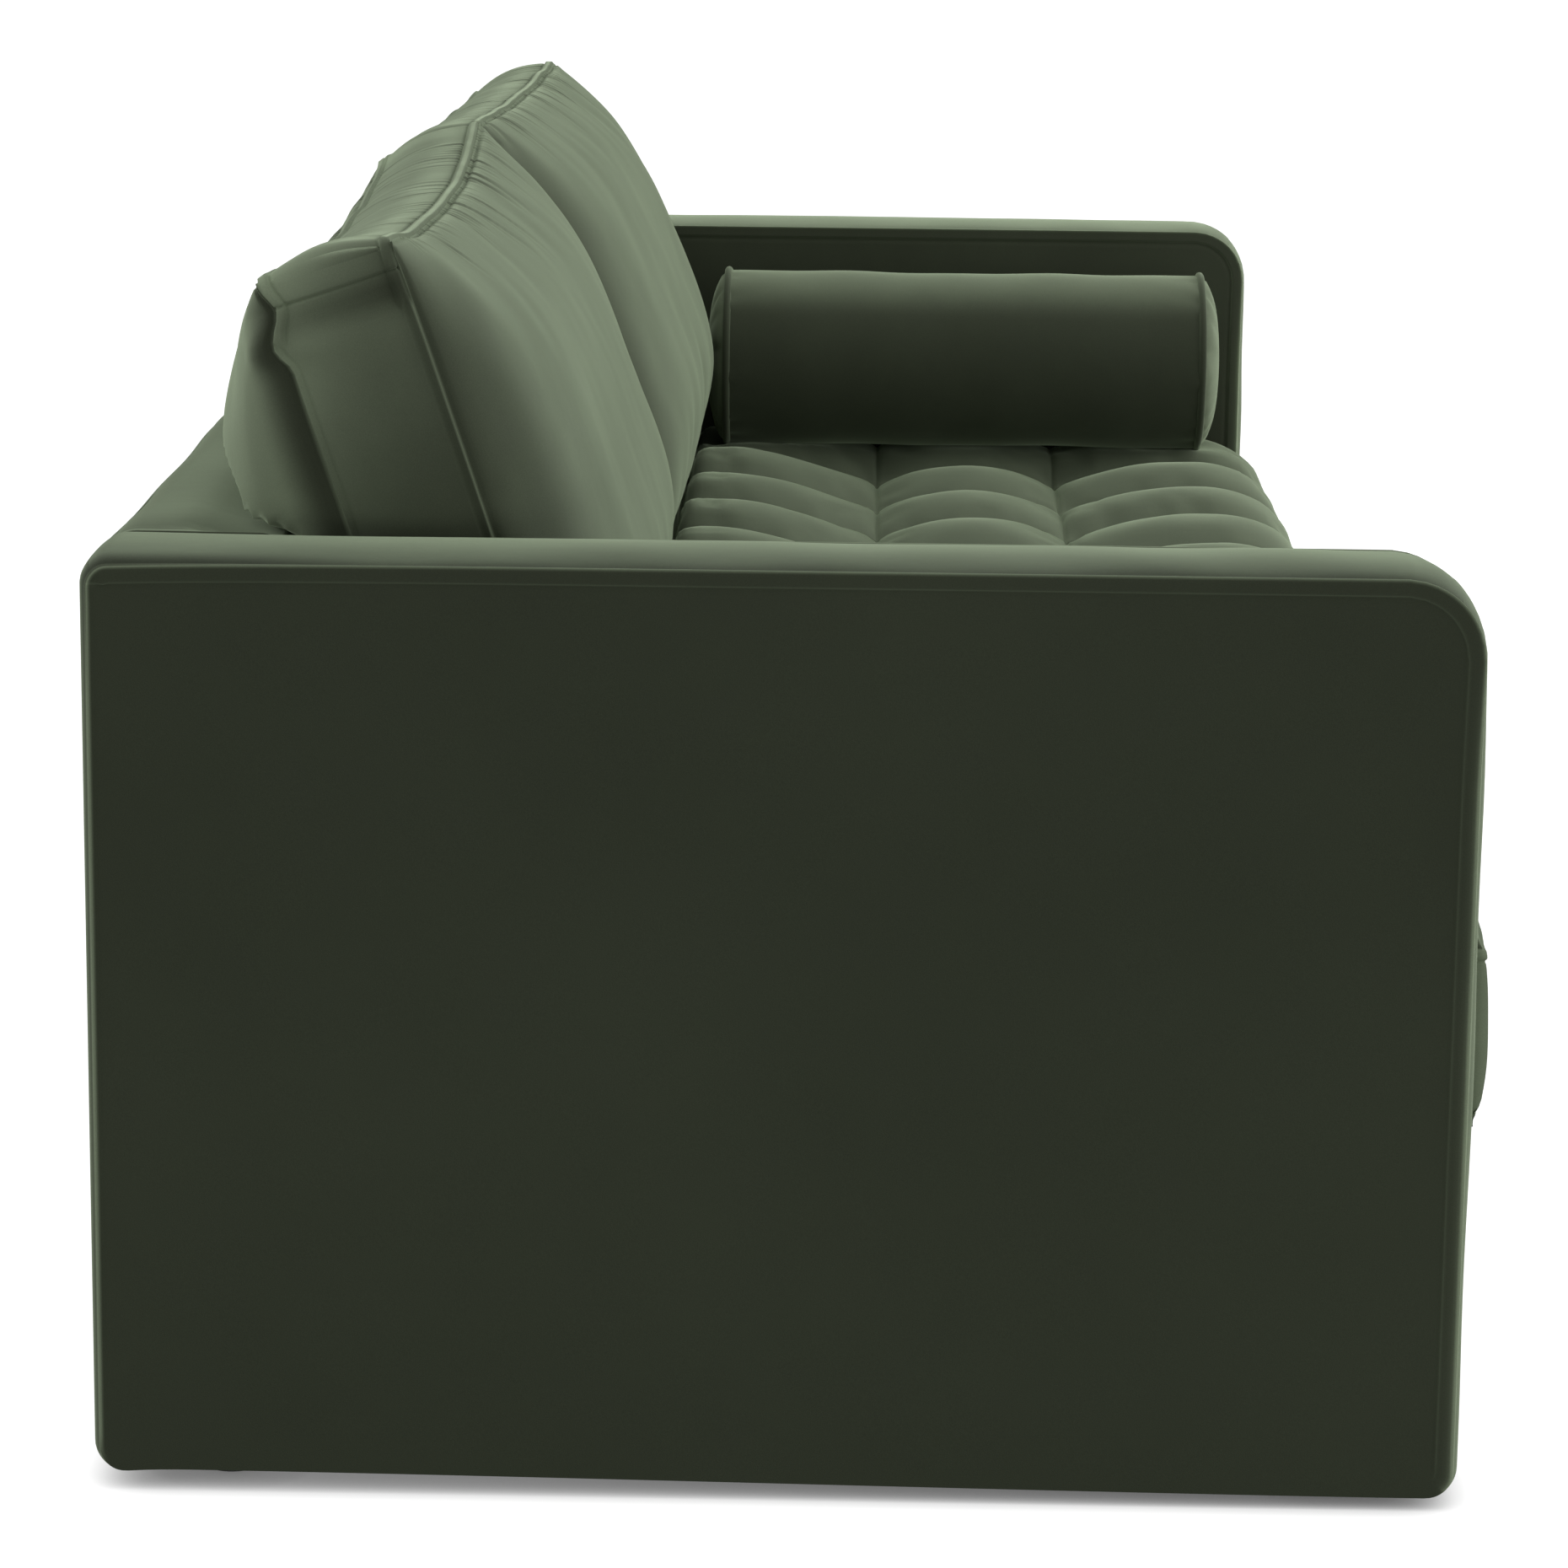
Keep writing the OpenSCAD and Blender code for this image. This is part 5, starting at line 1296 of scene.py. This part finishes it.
class SOFA_OT_studio(bpy.types.Operator):
    """Set up the floor, the soft lamps and the camera"""

    bl_idname = "sofa.make_studio"
    bl_label = "Studio"

    def execute(self, context):
        s = context.scene.sofa_studio
        scene = context.scene
        scene.view_settings.view_transform = "Standard"
        self.light_world(scene, s)
        self.lay_floor(scene, s)
        # Each lamp: power, width, depth, place and the point that it faces
        lamps = {
            "top_lamp": (s.top_light, 3.8, 3.2, (0.5, -0.3, 3.1), (0.1, -0.1, 0.4)),
            "front_lamp": (s.front_light, 3.6, 1.8, (0.2, -3.6, 1.3), (0.0, 0.0, 0.45)),
            "rear_lamp": (s.rear_light, 3.6, 1.6, (0.3, 3.4, 1.8), (0.0, 0.0, 0.5)),
            "side_lamp": (s.side_light, 3.0, 0.5, (-5.2, -0.4, 0.40), (-1.2, 0.0, 0.40)),
            "far_lamp": (s.far_light, 2.4, 1.8, (2.4, -2.8, 1.5), (0.0, 0.0, 0.45)),
        }
        for name, (energy, width, depth, place, target) in lamps.items():
            light = bpy.data.lights.new(name, "AREA")
            light.shape = "RECTANGLE"
            light.size, light.size_y, light.energy = width, depth, energy
            lamp = bpy.data.objects.new(name, light)
            lamp.location = place
            facing = Vector(target) - Vector(place)
            lamp.rotation_euler = facing.to_track_quat("-Z", "Y").to_euler()
            scene.collection.objects.link(lamp)
        self.set_camera(scene, s)
        return {"FINISHED"}

    @staticmethod
    def seen(tree):
        """1 for what the camera, glossy rays and transmitted rays see."""
        path = place_node(tree, "ShaderNodeLightPath").outputs
        either = maths(tree, "MAXIMUM", path["Is Camera Ray"], path["Is Glossy Ray"])
        return maths(tree, "MAXIMUM", either, path["Is Transmission Ray"])

    def light_world(self, scene, s):
        world = bpy.data.worlds.new("studio_world")
        world.use_nodes = True
        tree = world.node_tree
        tree.nodes.clear()
        strength = place_node(tree, "ShaderNodeMapRange", {
            "Value": self.seen(tree), "To Min": s.ambient, "To Max": 1.0}).outputs[0]
        sky = place_node(tree, "ShaderNodeBackground", {
            "Color": (1.0, 1.0, 1.0, 1.0), "Strength": strength})
        place_node(tree, "ShaderNodeOutputWorld", {"Surface": sky.outputs[0]})
        scene.world = world

    def lay_floor(self, scene, s):
        material = bpy.data.materials.new("studio_floor")
        material.use_nodes = True
        tree = material.node_tree
        tree.nodes.clear()
        spot = place_node(tree, "ShaderNodeTexCoord").outputs["Object"]
        tone = spread(tree, noise(tree, spot, 1.3, 2.0), 0.99, 1.01)
        matt = place_node(tree, "ShaderNodeBsdfDiffuse", {
            "Color": scaled(tree, s.floor[:3], tone)}).outputs[0]
        # White, with the soft shadow that gathers close under and beside the sofa
        nearby = place_node(
            tree, "ShaderNodeAmbientOcclusion", {"Distance": s.shadow_reach}, samples=24)
        open_share = place_node(tree, "ShaderNodeMapRange", {
            "Value": nearby.outputs["AO"], "From Min": 0.0, "From Max": 0.78,
            "To Min": 0.05}).outputs[0]
        white = place_node(tree, "ShaderNodeEmission", {"Strength": open_share}).outputs[0]
        shown = place_node(tree, "ShaderNodeAddShader", {0: matt, 1: white}).outputs[0]
        given = place_node(tree, "ShaderNodeBsdfDiffuse", {"Color": s.floor_bounce}).outputs[0]
        mixed = place_node(tree, "ShaderNodeMixShader", {0: self.seen(tree), 1: given, 2: shown})
        place_node(tree, "ShaderNodeOutputMaterial", {"Surface": mixed.outputs[0]})
        mesh = bpy.data.meshes.new("studio_floor")
        reach = 60.0
        corners = [(-reach, -reach, 0.0), (reach, -reach, 0.0), (reach, reach, 0.0),
                   (-reach, reach, 0.0)]
        mesh.from_pydata(corners, [], [(0, 1, 2, 3)])
        mesh.materials.append(material)
        floor = bpy.data.objects.new("studio_floor", mesh)
        scene.collection.objects.link(floor)

    def set_camera(self, scene, s):
        data = bpy.data.cameras.new("photo_camera")
        data.sensor_width = 36.0
        data.lens = s.lens
        data.clip_start, data.clip_end = 0.1, 200.0
        heading, tilt, roll = s.camera_turn
        ahead = Vector((
            math.cos(heading) * math.cos(tilt), math.sin(heading) * math.cos(tilt),
            -math.sin(tilt)))
        aside = Vector((math.sin(heading), -math.cos(heading), 0.0))
        over = aside.cross(ahead)
        right = math.cos(roll) * aside + math.sin(roll) * over
        above = -math.sin(roll) * aside + math.cos(roll) * over
        turn = Matrix((right, above, -ahead)).transposed()
        camera = bpy.data.objects.new("photo_camera", data)
        camera.matrix_world = Matrix.Translation(s.camera_place) @ turn.to_4x4()
        scene.collection.objects.link(camera)
        scene.camera = camera


STEPS = (
    SOFA_OT_studio, SOFA_OT_frame_finishes, SOFA_OT_arms, SOFA_OT_back, SOFA_OT_front_panel,
    SOFA_OT_seat, SOFA_OT_rear_pad, SOFA_OT_back_cushions, SOFA_OT_bolsters,
)


class SOFA_PT_builder(bpy.types.Panel):
    """Sizes, colours and steps of the sofa bed"""

    bl_idname = "SOFA_PT_builder"
    bl_label = "Sofa bed"
    bl_space_type = "VIEW_3D"
    bl_region_type = "UI"
    bl_category = "Sofa bed"

    def draw(self, context):
        for step in STEPS:
            self.layout.operator(step.bl_idname)
        for name, group in GROUPS.items():
            box = self.layout.box()
            settings = getattr(context.scene, name)
            for key in group.__annotations__:
                box.prop(settings, key)


def register():
    for name, group in GROUPS.items():
        bpy.utils.register_class(group)
        setattr(bpy.types.Scene, name, PointerProperty(type=group))
    for item in (*STEPS, SOFA_PT_builder):
        bpy.utils.register_class(item)


def unregister():
    for item in (SOFA_PT_builder, *reversed(STEPS)):
        bpy.utils.unregister_class(item)
    for name, group in reversed(GROUPS.items()):
        delattr(bpy.types.Scene, name)
        bpy.utils.unregister_class(group)


def main():
    register()
    for step in STEPS:
        family, name = step.bl_idname.split(".")
        getattr(getattr(bpy.ops, family), name)()


if __name__ == "__main__":
    main()
